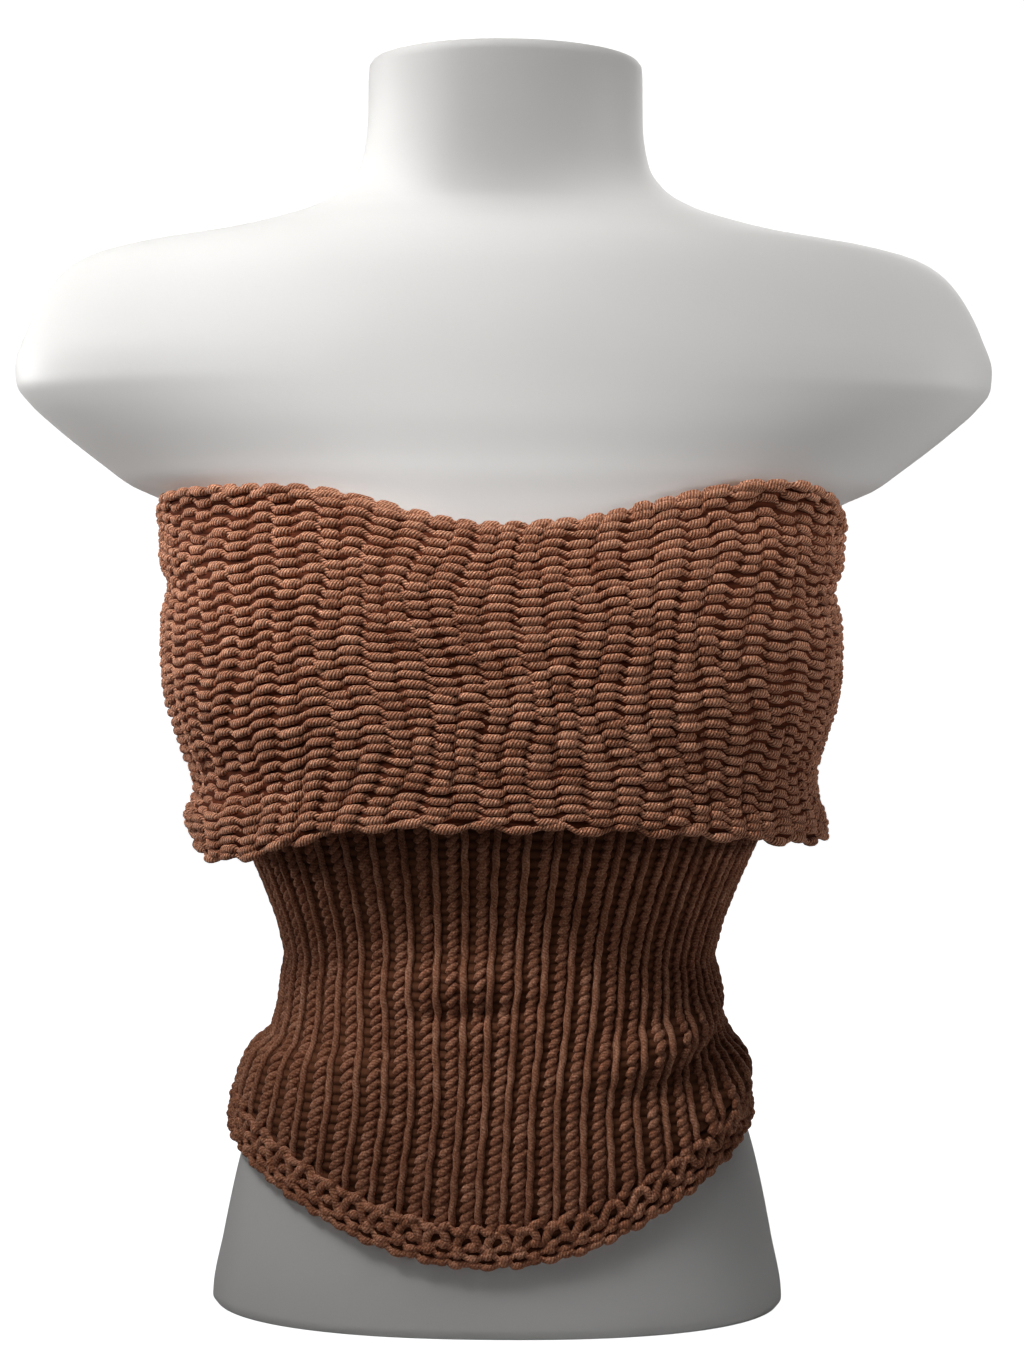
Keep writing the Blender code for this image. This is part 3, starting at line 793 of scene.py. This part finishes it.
def finished(name, guide, tree, **inputs):
    """The plain mesh that a tree makes from a guide, as a piece of the object."""
    modifier = guide.modifiers.new("make", "NODES")
    modifier.node_group = tree
    for socket in tree.interface.items_tree:
        if socket.name in inputs:
            modifier[socket.identifier] = inputs[socket.name]
    depsgraph = bpy.context.evaluated_depsgraph_get()
    mesh = bpy.data.meshes.new_from_object(guide.evaluated_get(depsgraph))
    guide.modifiers.remove(modifier)
    bpy.data.objects.remove(guide)
    mesh.name = name
    print(f"{name}: {sum(len(p.vertices) - 2 for p in mesh.polygons)} triangles")
    return linked(name, mesh)


def yarn_piece(name, yarns, material, sides):
    """One piece from many yarns. A yarn is its points, the ways out, its radius and tone."""
    edges, first = [], 0
    for path, *_ in yarns:
        edges += [(first + i, first + i + 1) for i in range(len(path) - 1)]
        first += len(path)
    points, outs = (np.concatenate([yarn[part] for yarn in yarns]) for part in (0, 1))
    thick, tone = (np.concatenate([np.broadcast_to(yarn[part], len(yarn[0])) for yarn in yarns])
                   for part in (2, 3))
    guide = guide_of(points, edges, cloth_out=outs, thick=thick, tone=tone)
    return finished(name, guide, sweep, Sides=sides, Material=material)

# %% [markdown]
# ## The folded part: courses of yarn, inside out
#
# Folding the tube outwards shows the wrong side of the knit. There each row of yarn, a course,
# runs round the body and steps up and down by less than its own thickness, in short level
# stretches like bricks. A bump map could fake that, but the stretches cast real shadows on each
# other and give the cloth a ragged outline, so each course is a real yarn. The courses sag at the
# sides, where the cloth hangs from the fold's two high points.

# %% The rule for one course
COURSES = 36
STRETCHES = 76                # short level lengths round one course
EDGE_ROOM = 4.6 * MM          # the chained edge, below the first course
STEP_SHARE = 0.25             # a stretch stands this far off its course's middle, in pitches
CLIMB = 0.02                  # rise along one stretch, in pitches
BOW = 0.08                    # how far its ends turn back, in pitches
STOPS = (-0.79, -0.58, -0.30, 0.0, 0.30, 0.58, 0.79)   # along a stretch, from its middle
COURSE_DEPTH = 1.9 * MM       # from the cloth's outer face to the yarn's middle
MIDDLE_OUT = 0.25 * MM        # a stretch's middle stands out
DIVE = 1.1 * MM               # its ends go into the cloth
END_THIN = 0.27               # and are thinner
RADIUS_SHARE = 0.475          # of the pitch
LEAST_RADIUS, MOST_RADIUS = 1.6 * MM, 2.05 * MM
SAG = 0.9                     # how far the lower courses sag at the sides, in pitches
SAG_PLACE, SAG_WIDTH = 0.185, 0.085    # how far round from the front that is, and how wide
SIDE_THIN = 0.10              # how much thinner the stretched yarn is there
SLOW_WAVES, SLOW_SIZE = (4, 6, 9, 14), 0.03           # each course's own drift, in pitches
SUNK_SHARE, SUNK_DEPTH = 0.03, 0.6 * MM               # a few stretches lie deeper
# how uneven the stretches are: to the side, up, in their climb, outwards, in thickness and tone
COURSE_SPREAD = (0.06, 0.035, 0.04, 0.20 * MM, 0.04, 0.11)
DRIFT_WAVES = [
    # size  waves  lean  start      in stretches, round the body, for each course, in front
    (0.42, 2, 0.17, 0.6),
    (0.24, 5, -0.31, 0.0),
    (0.16, 9, 0.45, 2.0),
]

chance = np.random.default_rng(11)


def wandering(count, source):
    """Slow random drift round a closed line: a few sine waves with random turns."""
    turn = np.arange(count) / count * 2 * math.pi
    drift = np.zeros(count)
    for n in SLOW_WAVES:
        drift += source.normal() * np.sin(n * turn + source.uniform(0, 2 * math.pi))
    return SLOW_SIZE * drift / math.sqrt(len(SLOW_WAVES) / 2)


def unevenness(count, stops, source):
    """Makes uneven values: one for each short length of yarn, given to all of its stops."""
    return lambda spread, average=0.0: np.repeat(source.normal(average, spread, count), len(stops))


def row_of(stops, count, source):
    """A row of short lengths round the cloth. For each point: its stop, its place round and
    the side its length steps to, 1 or -1. The last is the row's unevenness."""
    t = np.tile(stops, count)
    order = np.repeat(np.arange(count), len(stops))
    place = 0.5 + (order + 0.5 + 0.5 * t) / count
    return t, place, np.where(order % 2 == 0, 1.0, -1.0), unevenness(count, stops, source)


def ring_open(*columns):
    """Repeats the first point at the end, so that the yarn's own length never jumps."""
    return [np.concatenate([c, c[:1]]) for c in columns]


def side_pull(place):
    """1 where the cloth sags most, at both sides of the front, and 0 elsewhere."""
    from_front = np.abs((place + 0.5) % 1.0 - 0.5)
    return np.exp(-((from_front - SAG_PLACE) / SAG_WIDTH) ** 2)


def column_drift(place, number):
    """How far the brick columns wander to the side, in stretches. They lean and sway slowly,
    as the cloth is pulled more in one place than in another."""
    turn = 2 * math.pi * place
    return sum(size * np.sin(waves * turn + lean * number + start)
               for size, waves, lean, start in DRIFT_WAVES)


def course_yarn(number, source):
    """The path, directions, thickness and tone of one course."""
    aside, up_spread, climb, out_spread, thick, shade = COURSE_SPREAD
    t, place, side, uneven = row_of(STOPS, STRETCHES, source)
    place = place + column_drift(place, number) / STRETCHES
    place = place + uneven(aside) / STRETCHES
    length = band_length(place)
    pitch = (length - EDGE_ROOM) / COURSES
    up = side * STEP_SHARE + uneven(up_spread)
    up = up + CLIMB * t + uneven(climb) * t - BOW * side * t * t
    up = up + wandering(len(t), source)
    pull = side_pull(place) * math.sin(math.pi * math.sqrt((number + 0.5) / COURSES))
    up = up - SAG * pull
    sunk = np.repeat(source.random(STRETCHES) < SUNK_SHARE, len(STOPS))
    ends = np.abs(t / STOPS[-1]) ** 5
    out = uneven(out_spread) - SUNK_DEPTH * sunk + MIDDLE_OUT - DIVE * ends
    radius = np.clip(RADIUS_SHARE * pitch, LEAST_RADIUS, MOST_RADIUS)
    radius = radius * (1 - END_THIN * ends) * (1 + uneven(thick)) * (1 - SIDE_THIN * pull)
    tone = np.clip(0.5 + uneven(shade), 0, 1)
    distance = EDGE_ROOM + (number + 0.5 + up) * pitch
    path, outs = band_cloth.read(place, np.clip(distance / length, 0, 1))
    return ring_open(path + outs * (out - COURSE_DEPTH)[:, None], outs, radius, tone)


lower_courses = [course_yarn(n, chance) for n in range(COURSES // 2)]
upper_courses = [course_yarn(n, chance) for n in range(COURSES // 2, COURSES)]
print(COURSES, "courses of", len(lower_courses[0][0]), "points")

# %% Sweep the courses
courses_low = yarn_piece("folded_courses_lower", lower_courses, folded_yarn, sides=9)
courses_high = yarn_piece("folded_courses_upper", upper_courses, folded_yarn, sides=9)

# %% [markdown]
# ## The chained edge
#
# The last row is bound off: each loop is pulled through its neighbour, which leaves a row of
# thick leaf-shaped loops along the edge. The rule is that of a course, with longer loops that
# thin more where they meet. The hem further down uses the same rule, so it is a function.

# %% One row of thick loops
LOOP_STOPS = (-0.68, -0.42, 0.0, 0.42, 0.68)
LOOP_DIVE = 3.4 * MM          # a loop's ends dive by its thinning times this
LOOP_CLIMB = 0.30 * MM
# how uneven the loops are: to the side, up, in their climb, outwards, in thickness and tone
LOOP_SPREAD = (0.05, 0.22 * MM, 0.30 * MM, 0.2 * MM, 0.06, 0.12)


def loop_row(cloth, length_at, loops, middle, step, out, radius, thin, source):
    """A row of loops round a cloth, alternately up and down, that dive and thin where they
    meet. length_at gives the cloth's length from its lower edge up."""
    aside, up_spread, climb, out_spread, thick, shade = LOOP_SPREAD
    t, place, side, uneven = row_of(LOOP_STOPS, loops, source)
    place = place + uneven(aside) / loops
    up = middle + side * step + uneven(up_spread)
    up = up + uneven(climb, LOOP_CLIMB) * t
    end = np.abs(t / LOOP_STOPS[-1]) ** 3
    out = out + uneven(out_spread) - thin * LOOP_DIVE * end
    swell = uneven(thick, 1.0)
    tone = np.clip(0.5 + uneven(shade), 0, 1)
    path, outs = cloth.read(place, up / length_at(place))
    return ring_open(path + outs * out[:, None], outs, radius * swell * (1 - thin * end), tone)


# %% The edge itself
EDGE_LOOPS = 54
edge_yarn = loop_row(band_cloth, band_length, EDGE_LOOPS, middle=2.5 * MM, step=1.0 * MM,
                     out=-1.5 * MM, radius=2.15 * MM, thin=0.38, source=chance)
chained_edge = yarn_piece("chained_edge", [edge_yarn], folded_yarn, sides=12)

# %% [markdown]
# ## The tube: smooth cords beside columns of slanting stitches
#
# The tube below shows the right side. Every column has two halves that look quite different:
# on one the yarn lies in short slanting lumps, and on the other it runs on almost straight, like
# a cord. The cords are swept like the courses. The lumps repeat some two thousand times, so they
# are copies of one small mesh, placed by Geometry Nodes at points that carry their own turn.

# %% Where the columns of the tube run
TUBE_TOP = 0.246              # stitches end here, hidden under the folded part
STITCH_PITCH = 4.15 * MM
CORD_SHIFT = 0.22             # of a column's width, from the column's middle
LUMP_SHIFT = -0.18
TUBE_FACE = 4.7 * MM          # outermost yarn, from the tube's inner face
LEAN_MIDDLE, LEAN_EXTRA = 0.55, 0.65    # shares of the lean in front, and more at the +X side
HIP_CROWDING = 0.20           # how much closer the columns lie in front of the hips
HIP_REACH = 0.070             # from the waist down to there
FIRST_GUESS = 0.08            # of the height where a column meets the hem


def on_tube(place, height):
    """Points on the tube, and the ways out of the cloth there."""
    low, high = stitch_low(place), tube_high(place)
    return stitch_cloth.read(place, (height - low) / (high - low))


def wale_place(own, height):
    """Where a column is at a height. Columns lean more on the +X side, and on the hips they
    lie closer together in front and behind, where the cloth is stretched least."""
    lean = LEAN_MIDDLE + LEAN_EXTRA * math.sin(2 * math.pi * own)
    crowd = HIP_CROWDING * smooth_step((LEAN_PIVOT - height) / HIP_REACH)
    return (own + WALE_LEAN * lean * (height - LEAN_PIVOT)
            - crowd * math.sin(4 * math.pi * own) / (4 * math.pi))


def wale_foot(own):
    """Height where a leaning column meets the hem, found in a dozen steps."""
    height = FIRST_GUESS
    for _ in range(12):
        height = float(tube_low(wale_place(own, height)))
    return height


def slow_drift(height, foot, spread, source, knots=9):
    """A smooth random wander up one column."""
    return np.interp(height, np.linspace(foot, TUBE_TOP, knots), source.normal(0, spread, knots))


feet = [wale_foot((wale + 0.5) / WALES) for wale in range(WALES)]
print("columns meet the hem", round(min(feet), 4), "to", round(max(feet), 4), "m up")

# %% Cords
CORD_RADIUS = 1.60 * MM
CORD_FOOT = 4.0 * MM          # how far a cord goes on behind the hem
CORD_TUCK = 1.6 * MM          # and how deep
CORD_CLEAR = 6.0 * MM         # this far above its foot it is out again
CORD_RISE = 5.0 * MM          # and it comes out over this height
CORD_POINTS = 64
CORD_TONE, CORD_TONE_SPREAD = 0.55, 0.12
CORD_BEAT = 0.20 * MM         # each stitch makes it stand out a little
CORD_KINK, CORD_DRIFT = 0.022, 0.016    # its wander to the side, in columns
CORD_SWELL = 0.10             # and thicker, as a share


def cord_yarn(wale, source):
    own = (wale + 0.5 + CORD_SHIFT) / WALES
    foot = wale_foot(own) - CORD_FOOT
    height = np.linspace(foot, TUBE_TOP, CORD_POINTS)
    beat = 2 * math.pi * height / STITCH_PITCH + source.uniform(0, 2 * math.pi)
    aside = CORD_KINK * np.sin(beat) + slow_drift(height, foot, CORD_DRIFT, source)
    place = wale_place(own, height) + aside / WALES
    radius = CORD_RADIUS * (1 + CORD_SWELL * np.cos(beat))
    path, outs = on_tube(place, height)
    tucked = CORD_TUCK * smooth_step((foot + CORD_CLEAR - height) / CORD_RISE)
    path = path + outs * (TUBE_FACE - radius + CORD_BEAT * np.cos(beat) - tucked)[:, None]
    shade = slow_drift(height, foot, CORD_TONE_SPREAD, source, knots=24)
    return path, outs, radius, np.clip(CORD_TONE + shade, 0, 1)


front_wales = [w % WALES for w in range(-WALES // 4, WALES // 4)]
back_wales = list(range(WALES // 4, 3 * WALES // 4))
cords = [cord_yarn(w, chance) for w in range(WALES)]
cords_front = yarn_piece("tube_cords_front", [cords[w] for w in sorted(front_wales)],
                         tube_yarn, sides=9)
cords_back = yarn_piece("tube_cords_back", [cords[w] for w in back_wales], tube_yarn, sides=9)

# %% One short length of yarn
LUMP_LENGTH = 8.0 * MM
LUMP_THICK = 3.45 * MM
LUMP_DIVE = 1.0 * MM          # its ends lie this much deeper than its middle
BLUNT = 4.0                   # the higher, the blunter its ends


def ring_faces(rings, columns, joined):
    """Faces between rings of points. The last ring joins the first, or both get a cap."""
    faces = []
    for r in range(rings if joined else rings - 1):
        here, other = r * columns, (r + 1) % rings * columns
        for c in range(columns):
            d = (c + 1) % columns
            faces.append((here + c, here + d, other + d, other + c))
    if not joined:
        last = (rings - 1) * columns
        faces += [tuple(reversed(range(columns))), tuple(range(last, last + columns))]
    return faces


def lump_object(rings, sides):
    """A short thick length of yarn, bowed outwards, whose ends dive into the cloth."""
    t, angle = np.meshgrid(-1 + 2 * (np.arange(rings) + 0.5) / rings,
                           2 * math.pi * (np.arange(sides) + 0.5) / sides, indexing="ij")
    radius = 0.5 * LUMP_THICK * (1 - np.abs(t) ** BLUNT) ** 0.5
    points = np.stack([0.5 * LUMP_LENGTH * t, -radius * np.sin(angle),
                       -LUMP_DIVE * t * t - radius * np.cos(angle)], axis=-1).reshape(-1, 3)
    mesh = bpy.data.meshes.new("lump")
    mesh.from_pydata(points.tolist(), [], ring_faces(rings, sides, joined=False))
    carry(mesh, yarn_along=points[:, 0], yarn_around=np.tile(np.arange(sides) / sides, rings))
    mesh.shade_smooth()
    print("lump:", len(mesh.polygons), "faces")
    return linked("lump", mesh)


lump = lump_object(rings=7, sides=9)

# %% The tree that places the lumps
scatter, given, result = new_tree(
    "placed_stitches", "GeometryNodeTree",
    [("Geometry", "Geometry"), ("Stitch", "Object"), ("Material", "Material")],
    [("Geometry", "Geometry")])
spots = add(scatter, "GeometryNodeMeshToPoints", {0: given["Geometry"]}).outputs[0]
stitch = add(scatter, "GeometryNodeObjectInfo", {"Object": given["Stitch"]}).outputs["Geometry"]
facing = add(scatter, "FunctionNodeAxesToRotation", primary_axis="Z", secondary_axis="X", inputs={
    "Primary Axis": named(scatter, "FLOAT_VECTOR", "cloth_out"),
    "Secondary Axis": named(scatter, "FLOAT_VECTOR", "slant")}).outputs[0]
placed = add(scatter, "GeometryNodeInstanceOnPoints", {
    0: spots, "Instance": stitch, "Rotation": facing,
    "Scale": named(scatter, "FLOAT_VECTOR", "size")}).outputs[0]
paint_and_end(scatter, placed, given, result)
print(f"{scatter.name}: {len(scatter.nodes)} nodes")


# %% Columns of lumps
SHINGLE = 0.20                # a lump's lower end stands out over the next one's upper end
COLUMN_WIDTH = 12 * MM        # at the waist; where columns are wider, so are their lumps
MOST_WIDER = 1.25             # but no wider than this
TILT = 54                     # degrees from level
LUMP_FOOT = 2.5 * MM          # how far a column goes on behind the hem
LUMP_START = 0.6              # a column's first lump is up to this much higher, in pitches
LUMP_TONE = 0.48
# how uneven the lumps are: up, in their column's sway, to the side, in tilt, size, outwards, tone
LUMP_SPREAD = (0.07 * MM, 0.018, 0.008, 2, 0.02, 0.05 * MM, 0.09)
WALK_POINTS = 240             # along one column, to measure its length
NEARBY = 0.002                # a small step round


def set_on_tube(place, height, tilt):
    """Points on the tube, the ways out of it, directions in it at this tilt from level, and
    the width of one knit column there."""
    path, outs = on_tube(place, height)
    beside, _ = on_tube(place + NEARBY, height)
    apart = np.linalg.norm(beside - path, axis=1, keepdims=True)
    level = (beside - path) / apart
    tilt = np.radians(tilt)[:, None]
    slant = np.cos(tilt) * level + np.sin(tilt) * np.cross(outs, level)
    return path, outs, slant, apart[:, 0] / (NEARBY * WALES)


def lump_column(wale, source):
    """Places, directions, sizes and tones of one column's lumps."""
    up_spread, sway, aside, tilt, scale, out_spread, shade = LUMP_SPREAD
    own = (wale + 0.5 + LUMP_SHIFT) / WALES
    foot = wale_foot(own) - LUMP_FOOT
    fine = np.linspace(foot, TUBE_TOP, WALK_POINTS)
    line, _ = on_tube(wale_place(own, fine), fine)
    walked = np.concatenate([[0], np.cumsum(np.linalg.norm(np.diff(line, axis=0), axis=1))])
    count = int(walked[-1] / STITCH_PITCH)
    steps = STITCH_PITCH * (np.arange(count) + source.uniform(0, LUMP_START))
    height = np.interp(steps + source.normal(0, up_spread, count), walked, fine)
    drift = slow_drift(height, foot, sway, source)
    place = wale_place(own, height) + (drift + source.normal(0, aside, count)) / WALES
    path, outs, slant, width = set_on_tube(place, height, source.normal(TILT, tilt, count))
    wide = np.clip(width / COLUMN_WIDTH, 1.0, MOST_WIDER)
    size = source.normal(1.0, scale, (count, 3)) * np.stack([wide, wide, np.ones(count)], axis=1)
    out = TUBE_FACE - 0.5 * LUMP_THICK + source.normal(0, out_spread, count)
    tone = np.clip(source.normal(LUMP_TONE, shade, count), 0, 1)
    return path + outs * out[:, None], outs + SHINGLE * slant, slant, size, tone


def lump_piece(name, wales, source):
    columns = [lump_column(w, source) for w in wales]
    path, outs, slant, size, tone = (np.concatenate(c) for c in zip(*columns))
    guide = guide_of(path, [], cloth_out=outs, slant=slant, size=size, tone=tone)
    return finished(name, guide, scatter, Stitch=lump, Material=tube_yarn)


lumps_front = lump_piece("tube_stitches_front", front_wales, chance)
lumps_back = lump_piece("tube_stitches_back", back_wales, chance)
bpy.data.objects.remove(lump)

# %% [markdown]
# ## The crocheted hem
#
# The hem is worked round the lower edge with a hook. Its first yarn runs up and down in arches,
# and each arch stands over a small round hole. One row of thick loops joins it to the tube. Three
# more close it from below. Each of them steps the other way from its neighbour, which leaves
# small dark lens shapes between them.

# %% The arches
ARCH_STOPS = [
    # aside    up          out
    (-0.50, 9.6 * MM, 1.8 * MM),
    (-0.36, 10.4 * MM, 2.3 * MM),
    (-0.31, 12.4 * MM, 2.8 * MM),
    (-0.23, 14.4 * MM, 2.8 * MM),
    (-0.10, 15.8 * MM, 2.4 * MM),
    (0.10, 16.0 * MM, 2.4 * MM),
    (0.23, 14.8 * MM, 2.8 * MM),
    (0.31, 12.8 * MM, 2.8 * MM),
    (0.36, 10.6 * MM, 2.3 * MM),
]
ARCH_RADIUS = 2.0 * MM
ARCHES = 56                   # a few more than the tube's columns, so that the edge lies flat
ARCH_SPREAD = (0.03, 0.30 * MM, 0.10)    # how uneven they are: to the side, up and in tone
BETWEEN = 3                   # points of the yarn for each stop


def arch_yarn(source):
    """One yarn in arches round the hem."""
    aside_spread, up_spread, shade = ARCH_SPREAD
    uneven = unevenness(ARCHES, ARCH_STOPS, source)
    aside, up, out = (np.tile(c, ARCHES) for c in np.array(ARCH_STOPS).T)
    unit = np.repeat(np.arange(ARCHES), len(ARCH_STOPS)) + uneven(aside_spread)
    up = up + uneven(up_spread)
    knots = np.arange(len(aside))
    at = np.arange(BETWEEN * (len(aside) - 1) + 1) / BETWEEN
    place, up, out = (smooth_through(knots, c, at) for c in ((unit + aside) / ARCHES, up, out))
    place = place + 0.5 + 1.0 / ARCHES
    tone = np.interp(at, knots, np.clip(0.5 + uneven(shade), 0, 1))
    path, outs = hem_cloth.read(place, up / HEM_HEIGHT)
    return path + outs * out[:, None], outs, ARCH_RADIUS, tone


# %% The rows of loops, and the whole hem
HEM_LOOPS = 108
HEM_ROWS = [
    # middle     step      out       radius     thin
    (17.2 * MM, 0.9 * MM, 3.4 * MM, 2.05 * MM, 0.28),
    (9.5 * MM, 0.8 * MM, 3.1 * MM, 1.95 * MM, 0.30),
    (5.9 * MM, -0.7 * MM, 3.3 * MM, 1.90 * MM, 0.30),
    (2.4 * MM, 0.5 * MM, 3.0 * MM, 1.85 * MM, 0.22),
]
hem_yarns = [arch_yarn(chance)]
hem_yarns += [loop_row(hem_cloth, lambda place: HEM_HEIGHT, HEM_LOOPS, *row, chance)
              for row in HEM_ROWS]
hem_crochet = yarn_piece("hem_crochet", hem_yarns, hem_yarn, sides=10)

# %% [markdown]
# ## The ground of the cloth
#
# Between the yarns the eye sees into the cloth, where more yarn lies in the dark. A thin closed
# shell just under the stitches stands for it, and is the sheet of cloth itself: it has the cut's
# size, and the stitches go with it. Its colour is painted shade, far darker than the yarn's own.

# %% What is seen between the stitches
BAR_SHARE, BAR_BASE, GRAIN_SHARE = 0.50, 0.05, 0.6    # parts of the shade
BAR_RELIEF = 0.8 * MM


def ground_material(name, dark, light):
    """Yarn in the depth of the cloth, painted dark as shade, and crossed by the rows behind with
    painted shade between them.
    """
    material, tree, shader = new_material(name)
    place = object_place(tree)
    mottle = add(tree, "ShaderNodeGroup", {"Vector": place}, node_tree=fibre).outputs
    height = add(tree, "ShaderNodeSeparateXYZ", {0: place}).outputs["Z"]
    rows_up = value_node(tree, "MULTIPLY", height, math.pi / STITCH_PITCH)
    bars = value_node(tree, "ABSOLUTE", value_node(tree, "SINE", rows_up))
    shade = value_node(tree, "MULTIPLY_ADD", bars, BAR_SHARE, BAR_BASE)
    shade = value_node(tree, "MULTIPLY_ADD", mottle["Fine"], GRAIN_SHARE, shade)
    set_inputs(tree, shader, {
        "Base Color": ramp_node(tree, shade, [(0.0, dark), (1.0, light)]),
        "Normal": bump_node(tree, bars, BAR_RELIEF),
        "Roughness": 0.95, "Specular IOR Level": 0.1})
    return material


# Both shells are painted shade: their colours lie far below the yarn's own brown.
tube_painted_shade = ground_material("tube_painted_shade", (0.070, 0.0250, 0.0118), (0.225, 0.0840, 0.0410))
fold_painted_shade = ground_material("fold_painted_shade", (0.052, 0.0125, 0.0050), (0.165, 0.0420, 0.0190))
print("ground materials:", tube_painted_shade.name, fold_painted_shade.name)


# %% Shells under the stitches
GROUND_AROUND = 192
GROUND_TOP = 2.7 * MM         # the tube's shell, from the cloth's inner face
HEM_GROUND_TOP, HEM_GROUND_BACK = 2.0 * MM, 0.2 * MM
TUBE_RINGS, HEM_RINGS = 72, 10
HEM_GROUND_START = 0.10       # of the hem's height, so that no shell shows below the loops
around = np.arange(GROUND_AROUND) / GROUND_AROUND


def ring_piece(name, rings, material, joined):
    """A piece from level rings of points."""
    mesh = bpy.data.meshes.new(name)
    faces = ring_faces(len(rings), len(rings[0]), joined)
    mesh.from_pydata(np.concatenate(rings).tolist(), [], faces)
    mesh.materials.append(material)
    mesh.shade_smooth()
    print(f"{name}: {sum(len(face) - 2 for face in faces)} triangles")
    return linked(name, mesh)


def layer(cloth, shares, out):
    """Rings at some shares of a cloth's height, this far out of it."""
    return [cloth.at(around, np.full(len(around), s), out) for s in shares]


tube_shares = np.linspace(0, 1, TUBE_RINGS)
tube_rings = (layer(tube_cloth, tube_shares, GROUND_TOP)
              + layer(tube_cloth, tube_shares[::-1], 0.0))
tube_ground = ring_piece("tube_ground", tube_rings, tube_painted_shade, joined=True)
hem_shares = np.linspace(HEM_GROUND_START, 1.0, HEM_RINGS)
hem_rings = (layer(hem_cloth, hem_shares, HEM_GROUND_TOP)
             + layer(hem_cloth, hem_shares[::-1], HEM_GROUND_BACK))
hem_ground = ring_piece("hem_ground", hem_rings, tube_painted_shade, joined=True)

# %% The shell of the folded part
FOLD_GROUND_DEPTH = 2.1 * MM       # from the outer face
FOLD_GROUND_BACK = 0.3 * MM        # from the inner face
INNER_LOW, INNER_HIGH = 3.0 * MM, 9.5 * MM    # inner layer: above the free edge, below the crest
OUTER_LOW, OUTER_HIGH = 2.6 * MM, 1.5 * MM    # outer layer: above that edge, before the far end
INNER_RINGS, OUTER_RINGS = 40, 72


def band_rings():
    """Up the inner face, round inside the fold, over its crest and down under the courses."""
    length = band_length(around)
    inner_high = length - INSIDE_LENGTH - INNER_HIGH
    outer_high = length - OUTER_HIGH
    inner = [(INNER_LOW + t * (inner_high - INNER_LOW), FOLD_GROUND_BACK - BAND_WALL)
             for t in np.linspace(0, 1, INNER_RINGS)]
    outer = [(outer_high - t * (outer_high - OUTER_LOW), -FOLD_GROUND_DEPTH)
             for t in np.linspace(0, 1, OUTER_RINGS)]
    return [band_cloth.at(around, distance / length, out) for distance, out in inner + outer]


folded_ground = ring_piece("folded_ground", band_rings()[::-1], fold_painted_shade, joined=True)

# %% [markdown]
# ## The display form
#
# The form is one smooth moulded shell. Its plain solid has flat facets, so a finer loft through
# the same sections takes its place. It has no features of its own, and a faint grain and slight
# colour drift keep its large plain surfaces from looking too perfect.

# %% A finer loft through the form's sections
FORM_STEP = 3 * MM
FORM_AROUND = 160
SHARP_EDGE = 50                # degrees; the rims of the base and the neck's top stay crisp


def form_heights():
    heights = []
    for (low, *_), (high, *_) in zip(FORM_SECTIONS, FORM_SECTIONS[1:]):
        pieces = max(1, math.ceil((high - low) / FORM_STEP))
        heights += [low + (high - low) * i / pieces for i in range(pieces)]
    return heights + [FORM_SECTIONS[-1][0]]


def form_material():
    """Off-white moulded plastic, with a faint drift of colour and a faint grain."""
    material, tree, shader = new_material("moulded_white")
    place = object_place(tree)
    set_inputs(tree, shader, {
        "Base Color": ramp_node(tree, noise_node(tree, place, 7.0), [
            (0.3, (0.745, 0.730, 0.715)), (0.7, (0.790, 0.780, 0.765))]),
        "Normal": bump_node(tree, noise_node(tree, place, 900.0), 0.03 * MM),
        "Roughness": 0.55})
    return material


form_columns = np.arange(FORM_AROUND) / FORM_AROUND
form_rings = [form_outlines.at(form_columns, np.full(FORM_AROUND, h)) for h in form_heights()]
display_form = ring_piece("display_form", form_rings, form_material(), joined=False)
display_form.data.set_sharp_from_angle(angle=math.radians(SHARP_EDGE))

# %% [markdown]
# ## Handing the pieces over
#
# Every piece rides on the one body and stands for the plain solid that it replaces, which is
# hidden.

# %% Pieces
stitches = {
    "folded_ground": (folded_ground, [courses_low, courses_high, chained_edge]),
    "tube_ground": (tube_ground, [cords_front, cords_back, lumps_front, lumps_back]),
    "hem_ground": (hem_ground, [hem_crochet]),
}
for ground, yarns in stitches.values():
    for piece in (ground, *yarns):
        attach(piece, "root")
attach(display_form, "root")
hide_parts("torso_form")
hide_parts("fold_over_band")
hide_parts("body_tube")
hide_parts("hem_band")

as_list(stitches["folded_ground"][1])
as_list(stitches["tube_ground"][1])
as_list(stitches["hem_ground"][1])
